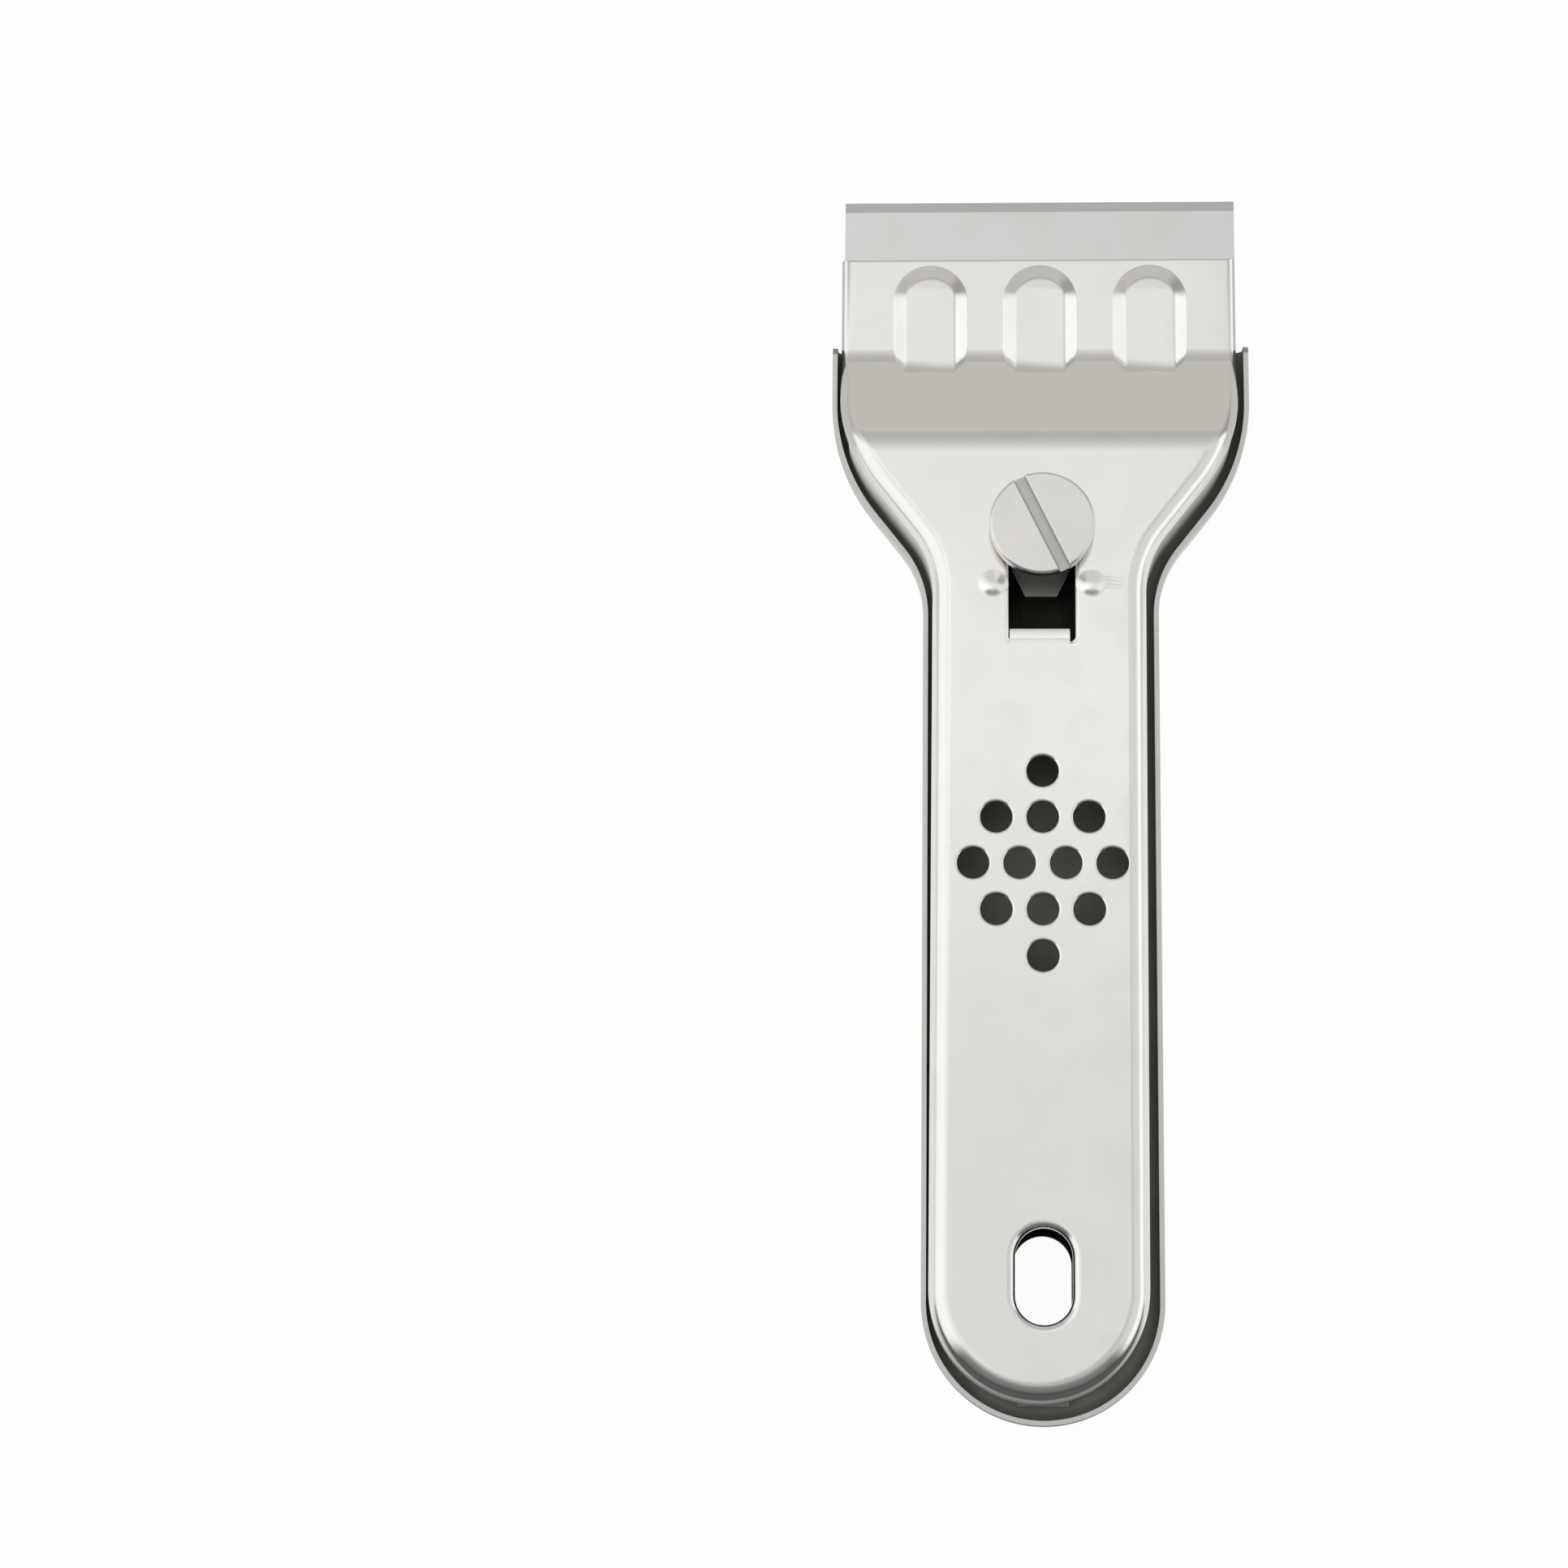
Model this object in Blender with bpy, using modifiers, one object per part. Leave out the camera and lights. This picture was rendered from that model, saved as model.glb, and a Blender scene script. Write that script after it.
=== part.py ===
"""A hob scraper: two pressed steel half shells, a sliding blade on its carrier, and one clamping screw.

It lies on its back on the ground plane. +Y points towards the cutting edge, +X is to the right and
+Z is up. The origin is on the ground, in the middle of the length. Lengths are in metres.
"""

from math import acos, asin, cos, hypot, pi, radians, sin, sqrt, tan

import bmesh
import bpy
from mathutils import Matrix, Vector

MM = 0.001

# The standard 40 mm blade, from which every other size was scaled
blade_width = 40.0 * MM
blade_length = 18.5 * MM
blade_thickness = 0.3 * MM
edge_thickness = 0.06 * MM
ground_bevel = 1.1 * MM
blade_corner = 1.5 * MM
blade_notch_radius = 1.2 * MM

# The whole tool
overall_length = 125.2 * MM
edge_y = overall_length / 2
tail_y = -overall_length / 2
sheet = 0.5 * MM
gap = 0.3 * MM
overrun = 5.0 * MM
far_half = 42.0 * MM
far_width = 2 * far_half

# The jaw's front edge, which the blade stands out of
blade_reach = 6.9 * MM
jaw_front_y = edge_y - blade_reach

# The tray: floor, upstanding wall and a front tongue under the blade
tray_side_room = 1.12 * MM
tray_shoulder_setback = 15.5 * MM
tray_shape = {
    "head_half": blade_width / 2 + tray_side_room,
    "grip_half": 11.8 * MM,
    "shoulder_y": jaw_front_y - tray_shoulder_setback,
    "shoulder_radius": 19.3 * MM,
    "waist_radius": 11.0 * MM,
    "tail_y": tail_y,
}
tray_wall_top = 3.3 * MM
tray_bend_radius = 1.5 * MM
wall_front_setback = 9.4 * MM
wall_front_y = jaw_front_y - wall_front_setback
wall_nose_radius = 1.0 * MM
wall_nose_lead = 0.05 * MM
tongue_side_setback = 0.4 * MM
tongue_half = blade_width / 2 - tongue_side_setback
tongue_corner = 2.0 * MM

# The cover: flat back, slope and clamping jaw
cover_top = 9.5 * MM
jaw_top = 3.0 * MM
slope_low_setback = 11.05 * MM
slope_run = 10.55 * MM
slope_low_y = jaw_front_y - slope_low_setback
slope_high_y = slope_low_y - slope_run
slope_low_radius = 2.5 * MM
slope_high_radius = 3.0 * MM
cover_tail_setback = 2.05 * MM
cover_tail_y = tail_y + cover_tail_setback
cover_side_room = 0.1 * MM
cover_shoulder_setback = 15.2 * MM
cover_shape = {
    "head_half": blade_width / 2 + cover_side_room,
    "grip_half": 10.65 * MM,
    "shoulder_y": jaw_front_y - cover_shoulder_setback,
    "shoulder_radius": 17.5 * MM,
    "waist_radius": 10.0 * MM,
    "tail_y": cover_tail_y,
}
cover_edge_radius = 1.5 * MM
shoulder_angle = radians(38.0)
skirt_step_setback = 19.3 * MM
skirt_step_y = jaw_front_y - skirt_step_setback

# The three pressed channels on the jaw, over the pegs
channel_pitch = 11.17 * MM
channel_half = 4.0 * MM
channel_height = 0.95 * MM
channel_front_setback = 1.4 * MM
channel_length = 13.8 * MM
channel_front_y = jaw_front_y - channel_front_setback
channel_rear_y = channel_front_y - channel_length
channel_edge_radius = 0.85 * MM

# The screw and what rides on it
screw_setback = 30.6 * MM
screw_y = jaw_front_y - screw_setback
travel = 7.0 * MM
head_radius = 5.2 * MM
head_thickness = 1.5 * MM
head_lift = 0.85 * MM
head_edge = 0.35 * MM
driver_slot_width = 1.1 * MM
driver_slot_depth = 0.8 * MM
driver_slot_angle = radians(26.0)
collar_radius = 3.0 * MM
shank_radius = 2.0 * MM
thread_pitch = 0.7 * MM
thread_depth = 0.3 * MM
shank_end = 0.4 * MM
ring_play = 0.25 * MM
ring_inner = collar_radius + ring_play
ring_outer = ring_inner + sheet
ring_thickness = 0.35 * MM
nut_side = 7.0 * MM
nut_low = 0.6 * MM
nut_edge = 0.35 * MM

# The screw's slot in the cover, as long as the travel, its bent lip and the two stop pips
slot_half = collar_radius + gap
slot_corner = 0.5 * MM
lip_bend_radius = 1.2 * MM
slot_rear_y = screw_y - travel - collar_radius - gap - lip_bend_radius
lip_drop = 2.2 * MM
lip_relief = 0.55 * MM
lip_side_gap = 0.1 * MM
pip_radius = 1.45 * MM
pip_height = 0.5 * MM
pip_x = slot_half + sheet + pip_radius
pip_y = screw_y - head_radius

# The hang hole, and the hole pattern between it and the slot
hang_setback = 13.8 * MM
hang_y = tail_y + hang_setback
hang_half_width = 2.75 * MM
hang_half_length = 4.6 * MM
hang_flare = 0.75 * MM
hang_collar_drop = 1.1 * MM
tray_hang_margin = 0.4 * MM
hole_radius = 1.54 * MM
hole_pitch_x = 4.53 * MM
hole_pitch_y = 4.59 * MM
hole_middle_share = 0.3582
hole_middle_y = slot_rear_y + (hang_y - slot_rear_y) * hole_middle_share
hole_row_counts = (1, 3, 4, 3, 1)

# The lug at the tail, lanced up from the tray's floor, whose nib hooks through the cover's skirt
lug_half = 2.5 * MM
lug_setback = 1.55 * MM
lug_y = cover_tail_y + lug_setback
lug_opening = 2.6 * MM
nib_low = 1.6 * MM
nib_reach = 1.7 * MM
nib_play = 0.4 * MM

# The carrier: wide under the jaw, with a narrow tongue that rises to the screw
carrier_side_setback = 1.3 * MM
carrier_half = blade_width / 2 - carrier_side_setback
carrier_thickness = 0.8 * MM
carrier_front_setback = 0.8 * MM
carrier_wide_length = 12.2 * MM
carrier_wide_rear_y = jaw_front_y - carrier_wide_length
carrier_ramp_setback = 0.5 * MM
carrier_ramp_run = 4.5 * MM
carrier_ramp_low_y = carrier_wide_rear_y - carrier_ramp_setback
carrier_ramp_high_y = carrier_ramp_low_y - carrier_ramp_run
carrier_tip_length = 5.7 * MM
carrier_rear_y = screw_y - carrier_tip_length
carrier_tongue_half = 5.5 * MM
carrier_tip_half = 1.6 * MM
carrier_taper_lead = 2.4 * MM
carrier_taper_y = screw_y + carrier_taper_lead
carrier_corner = 2.0 * MM

# The nut's channel, pressed up out of the tray's floor, as long as the nut's travel
nut_channel_top = 3.7 * MM
nut_channel_edge = 0.8 * MM
nut_channel_wall = gap + sheet + nut_channel_edge
nut_channel_front_y = screw_y + nut_side / 2 + gap + nut_channel_wall
nut_channel_rear_y = screw_y - travel - nut_side / 2 - nut_channel_wall

# The pegs that hold the blade on the carrier
peg_setback = 14.1 * MM
peg_y = edge_y - peg_setback
peg_radius = 1.5 * MM
peg_head_radius = 2.4 * MM
peg_head_thickness = 0.6 * MM
peg_edge = 0.15 * MM

# Facets
arc_steps = 6
tail_steps = 20
bend_steps = 4
edge_segments = 4
small_segments = 3
hole_segments = 24
turn_steps = 48
small_turn_steps = 24
nearest_corners = 0.4 * MM
weld_distance = 0.001 * MM
flat_angle = radians(0.5)
corner_angle = radians(50)
smooth_angle = radians(30)
blade_smooth_angle = radians(15)
marker_size = 5.0 * MM

# Heights of the stack between the tray's floor and the jaw
blade_low = sheet + gap
blade_high = blade_low + blade_thickness
carrier_low = blade_high + gap
carrier_high = carrier_low + carrier_thickness
tongue_low = nut_channel_top + gap
tongue_high = tongue_low + carrier_thickness
skirt_low = sheet + gap
head_skirt_low = blade_high + gap
peg_head_low = carrier_high + gap
nut_high = nut_channel_top - sheet - gap
shank_clearance = shank_radius + gap
peg_clearance = peg_radius + gap


def clear_scene():
    for old in list(bpy.data.objects):
        bpy.data.objects.remove(old, do_unlink=True)


def new_collection(name):
    made = bpy.data.collections.new(name)
    bpy.context.scene.collection.children.link(made)
    return made


def steel(name, colour, roughness):
    made = bpy.data.materials.new(name)
    made.use_nodes = True
    shader = made.node_tree.nodes["Principled BSDF"]
    shader.inputs["Base Color"].default_value = (*colour, 1.0)
    shader.inputs["Roughness"].default_value = roughness
    shader.inputs["Metallic"].default_value = 1.0
    return made


def arc(centre, radius, start, end, steps):
    """Points of an arc from one angle to another, both ends included."""
    points = []
    for step in range(steps + 1):
        angle = start + (end - start) * step / steps
        points.append((centre[0] + radius * cos(angle), centre[1] + radius * sin(angle)))
    return points


def rounded(corners, radii, steps):
    """A closed outline with each corner turned into an arc of its own radius; radius 0 keeps it sharp."""
    points = []
    for index, corner in enumerate(corners):
        radius = radii[index]
        here = Vector(corner)
        if radius == 0:
            points.append(corner)
            continue
        back = (Vector(corners[index - 1]) - here).normalized()
        ahead = (Vector(corners[(index + 1) % len(corners)]) - here).normalized()
        half = back.angle(ahead) / 2
        centre = here + (back + ahead).normalized() * radius / sin(half)
        first = here + back * radius / tan(half) - centre
        last = here + ahead * radius / tan(half) - centre
        turn = first.angle_signed(last)
        for step in range(steps + 1):
            spoke = first.copy()
            spoke.rotate(Matrix.Rotation(-turn * step / steps, 2))
            points.append(tuple(centre + spoke))
    return points


def stadium(half_width, half_length, middle_y, steps):
    """An oblong hole's outline, long along Y."""
    straight = half_length - half_width
    front = arc((0, middle_y + straight), half_width, 0, pi, steps)
    rear = arc((0, middle_y - straight), half_width, pi, 2 * pi, steps)
    return front + rear


def flank_angle(shape):
    """The flank's angle, or less where the head is so narrow that the two arcs meet before it."""
    step = shape["head_half"] - shape["grip_half"]
    return min(shoulder_angle, acos(1 - step / (shape["shoulder_radius"] + shape["waist_radius"])))


def waist_middle(shape):
    """The Y of the hub of the waist's arc, where a straight flank joins it to the shoulder's arc."""
    turn = flank_angle(shape)
    shoulder_end = shape["head_half"] - shape["shoulder_radius"] * (1 - cos(turn))
    waist_start = shape["grip_half"] + shape["waist_radius"] * (1 - cos(turn))
    run = (shoulder_end - waist_start) / sin(turn)
    end_y = shape["shoulder_y"] - shape["shoulder_radius"] * sin(turn)
    return end_y - run * cos(turn) - shape["waist_radius"] * sin(turn)


def half_width(shape, y, inset):
    """Half the outline's width at a place along Y, with the whole outline offset inwards."""
    turn = flank_angle(shape)
    shoulder_r = shape["shoulder_radius"] - inset
    waist_r = shape["waist_radius"] + inset
    hub_x = shape["head_half"] - shape["shoulder_radius"]
    waist_y = waist_middle(shape)
    shoulder_end_y = shape["shoulder_y"] - shoulder_r * sin(turn)
    if y >= shape["shoulder_y"]:
        return shape["head_half"] - inset
    if y >= shoulder_end_y:
        return hub_x + sqrt(shoulder_r**2 - (shape["shoulder_y"] - y) ** 2)
    if y >= waist_y + waist_r * sin(turn):
        return hub_x + shoulder_r * cos(turn) - (shoulder_end_y - y) * tan(turn)
    if y >= waist_y:
        return shape["grip_half"] + shape["waist_radius"] - sqrt(waist_r**2 - (y - waist_y) ** 2)
    return shape["grip_half"] - inset


def stations(shape, front_y, lines):
    """The places along Y where the outline has a corner, from the front to the tail's hub."""
    places = [front_y] + list(lines)
    for step in range(arc_steps + 1):
        swing = sin(flank_angle(shape) * step / arc_steps)
        for y in (
            shape["shoulder_y"] - shape["shoulder_radius"] * swing,
            waist_middle(shape) + shape["waist_radius"] * swing,
        ):
            if min(abs(y - line) for line in places) > nearest_corners:
                places.append(y)
    places.append(shape["tail_y"] + shape["grip_half"])
    return sorted(places, reverse=True)


def plan_outline(shape, front_y, inset, lines=()):
    """The paddle-shaped outline: wide head, shoulders, narrow grip and a round tail."""
    right = [(half_width(shape, y, inset), y) for y in stations(shape, front_y, lines)]
    hub = (0, shape["tail_y"] + shape["grip_half"])
    tail = arc(hub, shape["grip_half"] - inset, 0, -pi, tail_steps)[1:-1]
    left = [(-x, y) for x, y in reversed(right)]
    return right + tail + left


def mesh_from_curve(name, curve_object, collection):
    """The evaluated curve as a mesh object with its caps welded, in the curve's place."""
    bpy.context.view_layer.update()
    graph = bpy.context.evaluated_depsgraph_get()
    data = bpy.data.meshes.new_from_object(curve_object.evaluated_get(graph))
    data.name = name
    shape = bmesh.new()
    shape.from_mesh(data)
    bmesh.ops.remove_doubles(shape, verts=shape.verts, dist=weld_distance)
    bmesh.ops.dissolve_limit(shape, angle_limit=flat_angle, verts=shape.verts, edges=shape.edges)
    shape.to_mesh(data)
    shape.free()
    place = curve_object.matrix_world.copy()
    bpy.data.objects.remove(curve_object, do_unlink=True)
    made = bpy.data.objects.new(name, data)
    made.matrix_world = place
    collection.objects.link(made)
    return made


def plate(name, points, low, high, collection):
    """A flat outline in plan, filled between two heights."""
    return extruded(name, points, high - low, (0, 0, (low + high) / 2), (0, 0, 0), collection)


def side_prism(name, points, width, collection):
    """An outline drawn in the Y-Z plane, extruded along X about the middle plane."""
    return extruded(name, points, width, (0, 0, 0), (pi / 2, 0, pi / 2), collection)


def extruded(name, points, thickness, location, rotation, collection):
    data = bpy.data.curves.new(name, "CURVE")
    data.dimensions = "2D"
    data.fill_mode = "BOTH"
    data.extrude = thickness / 2
    spline = data.splines.new("POLY")
    spline.points.add(len(points) - 1)
    for place, (x, y) in zip(spline.points, points):
        place.co = (x, y, 0, 1)
    spline.use_cyclic_u = True
    drawn = bpy.data.objects.new(name, data)
    drawn.location = location
    drawn.rotation_euler = rotation
    bpy.context.scene.collection.objects.link(drawn)
    return mesh_from_curve(name, drawn, collection)


def box(name, x_span, y_span, z_span, collection):
    data = bpy.data.meshes.new(name)
    shape = bmesh.new()
    bmesh.ops.create_cube(shape, size=1)
    size = (x_span[1] - x_span[0], y_span[1] - y_span[0], z_span[1] - z_span[0])
    bmesh.ops.scale(shape, vec=size, verts=shape.verts)
    shape.to_mesh(data)
    shape.free()
    made = bpy.data.objects.new(name, data)
    made.location = (sum(x_span) / 2, sum(y_span) / 2, sum(z_span) / 2)
    collection.objects.link(made)
    return made


def cylinders(name, centres, radius, low, high, segments, collection):
    """One object that holds an upright cylinder at each centre."""
    data = bpy.data.meshes.new(name)
    shape = bmesh.new()
    for x, y in centres:
        made = bmesh.ops.create_cone(
            shape,
            cap_ends=True,
            segments=segments,
            radius1=radius,
            radius2=radius,
            depth=high - low,
        )
        bmesh.ops.translate(shape, vec=(x, y, (low + high) / 2), verts=made["verts"])
    shape.to_mesh(data)
    shape.free()
    made = bpy.data.objects.new(name, data)
    collection.objects.link(made)
    return made


def turned(name, profile, closed, location, steps, collection):
    """A turned shape about the vertical axis; the profile runs down its outer side."""
    data = bpy.data.meshes.new(name)
    links = [(index, index + 1) for index in range(len(profile) - 1)]
    if closed:
        links.append((len(profile) - 1, 0))
    data.from_pydata([(r, 0, z) for r, z in profile], links, [])
    made = bpy.data.objects.new(name, data)
    made.location = location
    collection.objects.link(made)
    screw = made.modifiers.new("turn", "SCREW")
    screw.steps = steps
    screw.render_steps = steps
    screw.use_merge_vertices = True
    screw.merge_threshold = weld_distance
    return made


def join_rings(shape, rings):
    """Side faces between each ring of corners and the next."""
    for lower, upper in zip(rings, rings[1:]):
        for index in range(len(lower)):
            after = (index + 1) % len(lower)
            shape.faces.new((lower[index], lower[after], upper[after], upper[index]))


def lofted(name, outlines, rows, collection):
    """A solid through outlines of alike corners, listed from the bottom; its top is closed row by row."""
    shape = bmesh.new()
    rings = [[shape.verts.new(point) for point in outline] for outline in outlines]
    join_rings(shape, rings)
    shape.faces.new(rings[0])
    top = rings[-1]
    for row in range(rows - 1):
        shape.faces.new((top[row], top[row + 1], top[-row - 2], top[-row - 1]))
    shape.faces.new(top[rows - 1 : len(top) - rows + 1])
    bmesh.ops.recalc_face_normals(shape, faces=shape.faces)
    data = bpy.data.meshes.new(name)
    shape.to_mesh(data)
    shape.free()
    made = bpy.data.objects.new(name, data)
    collection.objects.link(made)
    return made


def oblong_stack(name, levels, middle_y, steps, collection):
    """A solid lofted through oblong outlines, listed from the bottom: (height, half width, half length)."""
    data = bpy.data.meshes.new(name)
    shape = bmesh.new()
    rings = []
    for height, half_width, half_length in levels:
        outline = stadium(half_width, half_length, middle_y, steps)
        rings.append([shape.verts.new((x, y, height)) for x, y in outline])
    join_rings(shape, rings)
    shape.faces.new(list(reversed(rings[0])))
    shape.faces.new(rings[-1])
    shape.to_mesh(data)
    shape.free()
    made = bpy.data.objects.new(name, data)
    collection.objects.link(made)
    return made


def boolean(target, other, operation):
    step = target.modifiers.new(other.name, "BOOLEAN")
    step.operation = operation
    step.object = other
    step.solver = "EXACT"
    return step


def bevel(target, width, segments):
    """Rounds the sharp edges; the clamp is off because every bend here is wider than the facets beside it."""
    step = target.modifiers.new("bevel", "BEVEL")
    step.width = width
    step.segments = segments
    step.limit_method = "ANGLE"
    step.angle_limit = corner_angle
    step.use_clamp_overlap = False
    return step


def helper(*shapes):
    for shape in shapes:
        shape.hide_render = True
        shape.display_type = "WIRE"


def finish(part, material, angle=smooth_angle):
    """Bakes the modifiers into the mesh, so that it can be shaded smooth by angle, and sets the material."""
    bpy.context.view_layer.update()
    graph = bpy.context.evaluated_depsgraph_get()
    data = bpy.data.meshes.new_from_object(part.evaluated_get(graph))
    data.name = part.name
    part.modifiers.clear()
    part.data = data
    data.materials.clear()
    data.materials.append(material)
    data.shade_smooth()
    data.set_sharp_from_angle(angle=angle)


def cover_profile(inset):
    """The cover's top line in side view, offset inwards by the inset: points from the front to the tail."""
    slope = (cover_top - jaw_top) / (slope_low_y - slope_high_y)
    shift = inset * tan(asin(slope / hypot(1, slope)) / 2)
    corners = [
        (jaw_front_y + 2 * overrun, jaw_top - inset),
        (slope_low_y - shift, jaw_top - inset),
        (slope_high_y - shift, cover_top - inset),
        (cover_tail_y - overrun, cover_top - inset),
    ]
    return rounded(corners, (0, slope_low_radius + inset, slope_high_radius - inset, 0), bend_steps)


def height_at(profile, y):
    """The side view's height at a place along Y, measured on its straight facets."""
    for front, rear in zip(profile, profile[1:]):
        if rear[0] <= y <= front[0]:
            share = (front[0] - y) / (front[0] - rear[0])
            return front[1] + (rear[1] - front[1]) * share
    return profile[-1][1]


def cover_solid(name, inset, collection):
    """The cover's block, grown through the front and the ground, with its upper edges rounded.

    It is a loft through the plan outline at growing insets, each ring lying on the side view's line,
    because the rounded edge follows the slope and the shoulder's curve at the same time.
    """
    profile = cover_profile(inset)
    front_y = profile[0][0]
    lines = [y for y, height in profile[1:-1]]
    places = stations(cover_shape, front_y, lines)
    edge = cover_edge_radius - inset
    outline = plan_outline(cover_shape, front_y, inset, lines)
    outlines = [[(x, y, -2 * overrun) for x, y in outline]]
    for step in range(edge_segments + 1):
        angle = pi / 2 * step / edge_segments
        drop = edge * (1 - sin(angle))
        outline = plan_outline(cover_shape, front_y, inset + edge * (1 - cos(angle)), lines)
        outlines.append([(x, y, height_at(profile, y) - drop) for x, y in outline])
    block = lofted(name, outlines, len(places), collection)
    for index in (-1, 0, 1):
        ridge = jaw_channel(f"{name}_ridge_{index + 1}", index * channel_pitch, inset)
        boolean(block, ridge, "UNION")
    return block


def jaw_channel(name, x, inset):
    """One raised channel of the jaw: round at the front, running out into the slope at the rear."""
    half = channel_half - inset
    front = arc((x, channel_front_y - channel_half), half, 0, pi, 2 * arc_steps)
    outline = front + [(x - half, channel_rear_y), (x + half, channel_rear_y)]
    top = jaw_top + channel_height - inset
    ridge = plate(name, outline, jaw_top - inset - channel_height, top, cutters)
    bevel(ridge, channel_edge_radius - inset, small_segments)
    helper(ridge)
    return ridge


def make_top_shell():
    shell = cover_solid("top_shell", 0, parts)
    core = cover_solid("cover_core", sheet, cutters)
    helper(core)
    boolean(shell, core, "DIFFERENCE")

    front = box(
        "mouth_cut",
        (-far_half, far_half),
        (jaw_front_y, jaw_front_y + 4 * overrun),
        (-4 * overrun, cover_top + 4 * overrun),
        cutters,
    )
    step = head_skirt_low - skirt_low
    below = side_prism(
        "skirt_cut",
        [
            (cover_tail_y - 4 * overrun, -4 * overrun),
            (jaw_front_y + 4 * overrun, -4 * overrun),
            (jaw_front_y + 4 * overrun, head_skirt_low),
            (skirt_step_y, head_skirt_low),
            (skirt_step_y - step, skirt_low),
            (cover_tail_y - 4 * overrun, skirt_low),
        ],
        far_width,
        cutters,
    )
    slot_front = screw_y + gap
    slot_points = arc((0, slot_front), slot_half, 0, pi, 2 * arc_steps)
    corner_x = slot_half - slot_corner
    corner_y = slot_rear_y + slot_corner
    slot_points += arc((-corner_x, corner_y), slot_corner, pi, 3 * pi / 2, small_segments)
    slot_points += arc((corner_x, corner_y), slot_corner, 3 * pi / 2, 2 * pi, small_segments)
    slot = plate("slot_cut", slot_points, cover_top - overrun, cover_top + overrun, cutters)
    helper(front, below, slot)
    for cutter in (front, below, slot):
        boolean(shell, cutter, "DIFFERENCE")

    lip = slot_lip()
    collar = oblong_stack(
        "hang_collar",
        [
            (cover_top - hang_collar_drop, hang_half_width + sheet, hang_half_length + sheet),
            (cover_top - sheet / 2, hang_half_width + sheet, hang_half_length + sheet),
        ],
        hang_y,
        2 * arc_steps,
        cutters,
    )
    helper(lip, collar)
    boolean(shell, lip, "UNION")
    boolean(shell, collar, "UNION")
    for side in (-1, 1):
        low = cover_top - sheet / 2
        pip = dome(f"pip_{side}", side * pip_x, pip_radius, low, cover_top + pip_height - low)
        boolean(shell, pip, "UNION")
    for side in (-1, 1):
        low = cover_top - 2 * sheet
        height = cover_top + pip_height - sheet - low
        hollow = dome(f"pip_hollow_{side}", side * pip_x, pip_radius - sheet, low, height)
        boolean(shell, hollow, "DIFFERENCE")

    hang = hang_cutter()
    centres = []
    for row, count in enumerate(hole_row_counts):
        y = hole_middle_y + ((len(hole_row_counts) - 1) / 2 - row) * hole_pitch_y
        for place in range(count):
            centres.append(((place - (count - 1) / 2) * hole_pitch_x, y))
    low = cover_top - overrun
    high = cover_top + overrun
    holes = cylinders("hole_cut", centres, hole_radius, low, high, hole_segments, cutters)
    tail_notch = box(
        "tail_notch",
        (-lug_half - nib_play, lug_half + nib_play),
        (cover_tail_y - 2 * sheet, cover_tail_y + 2 * sheet),
        (nib_low - nib_play, nib_low + sheet + nib_play),
        cutters,
    )
    helper(hang, holes, tail_notch)
    for cutter in (hang, holes, tail_notch):
        boolean(shell, cutter, "DIFFERENCE")
    finish(shell, cover_steel)
    return shell


def slot_lip():
    """The sheet at the slot's rear end, bent down."""
    hub = (slot_rear_y, cover_top - lip_bend_radius)
    outer = arc(hub, lip_bend_radius, pi / 2, 0, bend_steps)
    inner = arc(hub, lip_bend_radius - sheet, 0, pi / 2, bend_steps)
    foot = cover_top - lip_drop
    points = [(slot_rear_y - sheet, cover_top)] + outer
    points += [(slot_rear_y + lip_bend_radius, foot), (slot_rear_y + lip_bend_radius - sheet, foot)]
    points += inner + [(slot_rear_y - sheet, cover_top - sheet)]
    left = -slot_half + lip_side_gap
    right = slot_half - lip_relief
    lip = side_prism("slot_lip", points, right - left, cutters)
    lip.location.x = (left + right) / 2
    return lip


def dome(name, x, radius, low, height):
    """A low round dome on a flat foot, turned from an arc."""
    profile = []
    for point in range(small_segments * 2 + 1):
        angle = pi / 2 * (1 - point / (small_segments * 2))
        profile.append((radius * cos(angle), height * sin(angle)))
    profile.append((0, 0))
    made = turned(name, profile, False, (x, pip_y, low), small_turn_steps, cutters)
    helper(made)
    return made


def hang_cutter():
    """The hang hole with a rounded entry, so that the cover's edge dips into it."""
    levels = [(cover_top - overrun, hang_half_width, hang_half_length)]
    for step in range(small_segments + 1):
        angle = pi / 2 * step / small_segments
        grow = hang_flare * (1 - cos(angle))
        height = cover_top - hang_flare + hang_flare * sin(angle)
        levels.append((height, hang_half_width + grow, hang_half_length + grow))
    levels.append((cover_top + overrun, hang_half_width + hang_flare, hang_half_length + hang_flare))
    return oblong_stack("hang_cut", levels, hang_y, 2 * arc_steps, cutters)


def tray_solid(name, inset, front_y, top, collection):
    """The tray's block, or what it holds when the inset is the sheet: floor, bend and upright wall."""
    bend = tray_bend_radius - inset
    outlines = []
    for step in range(edge_segments + 1):
        angle = pi / 2 * step / edge_segments
        height = inset + bend * (1 - cos(angle))
        outline = plan_outline(tray_shape, front_y, inset + bend * (1 - sin(angle)))
        outlines.append([(x, y, height) for x, y in outline])
    outline = plan_outline(tray_shape, front_y, inset)
    outlines.append([(x, y, top) for x, y in outline])
    return lofted(name, outlines, len(stations(tray_shape, front_y, ())), collection)


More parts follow.
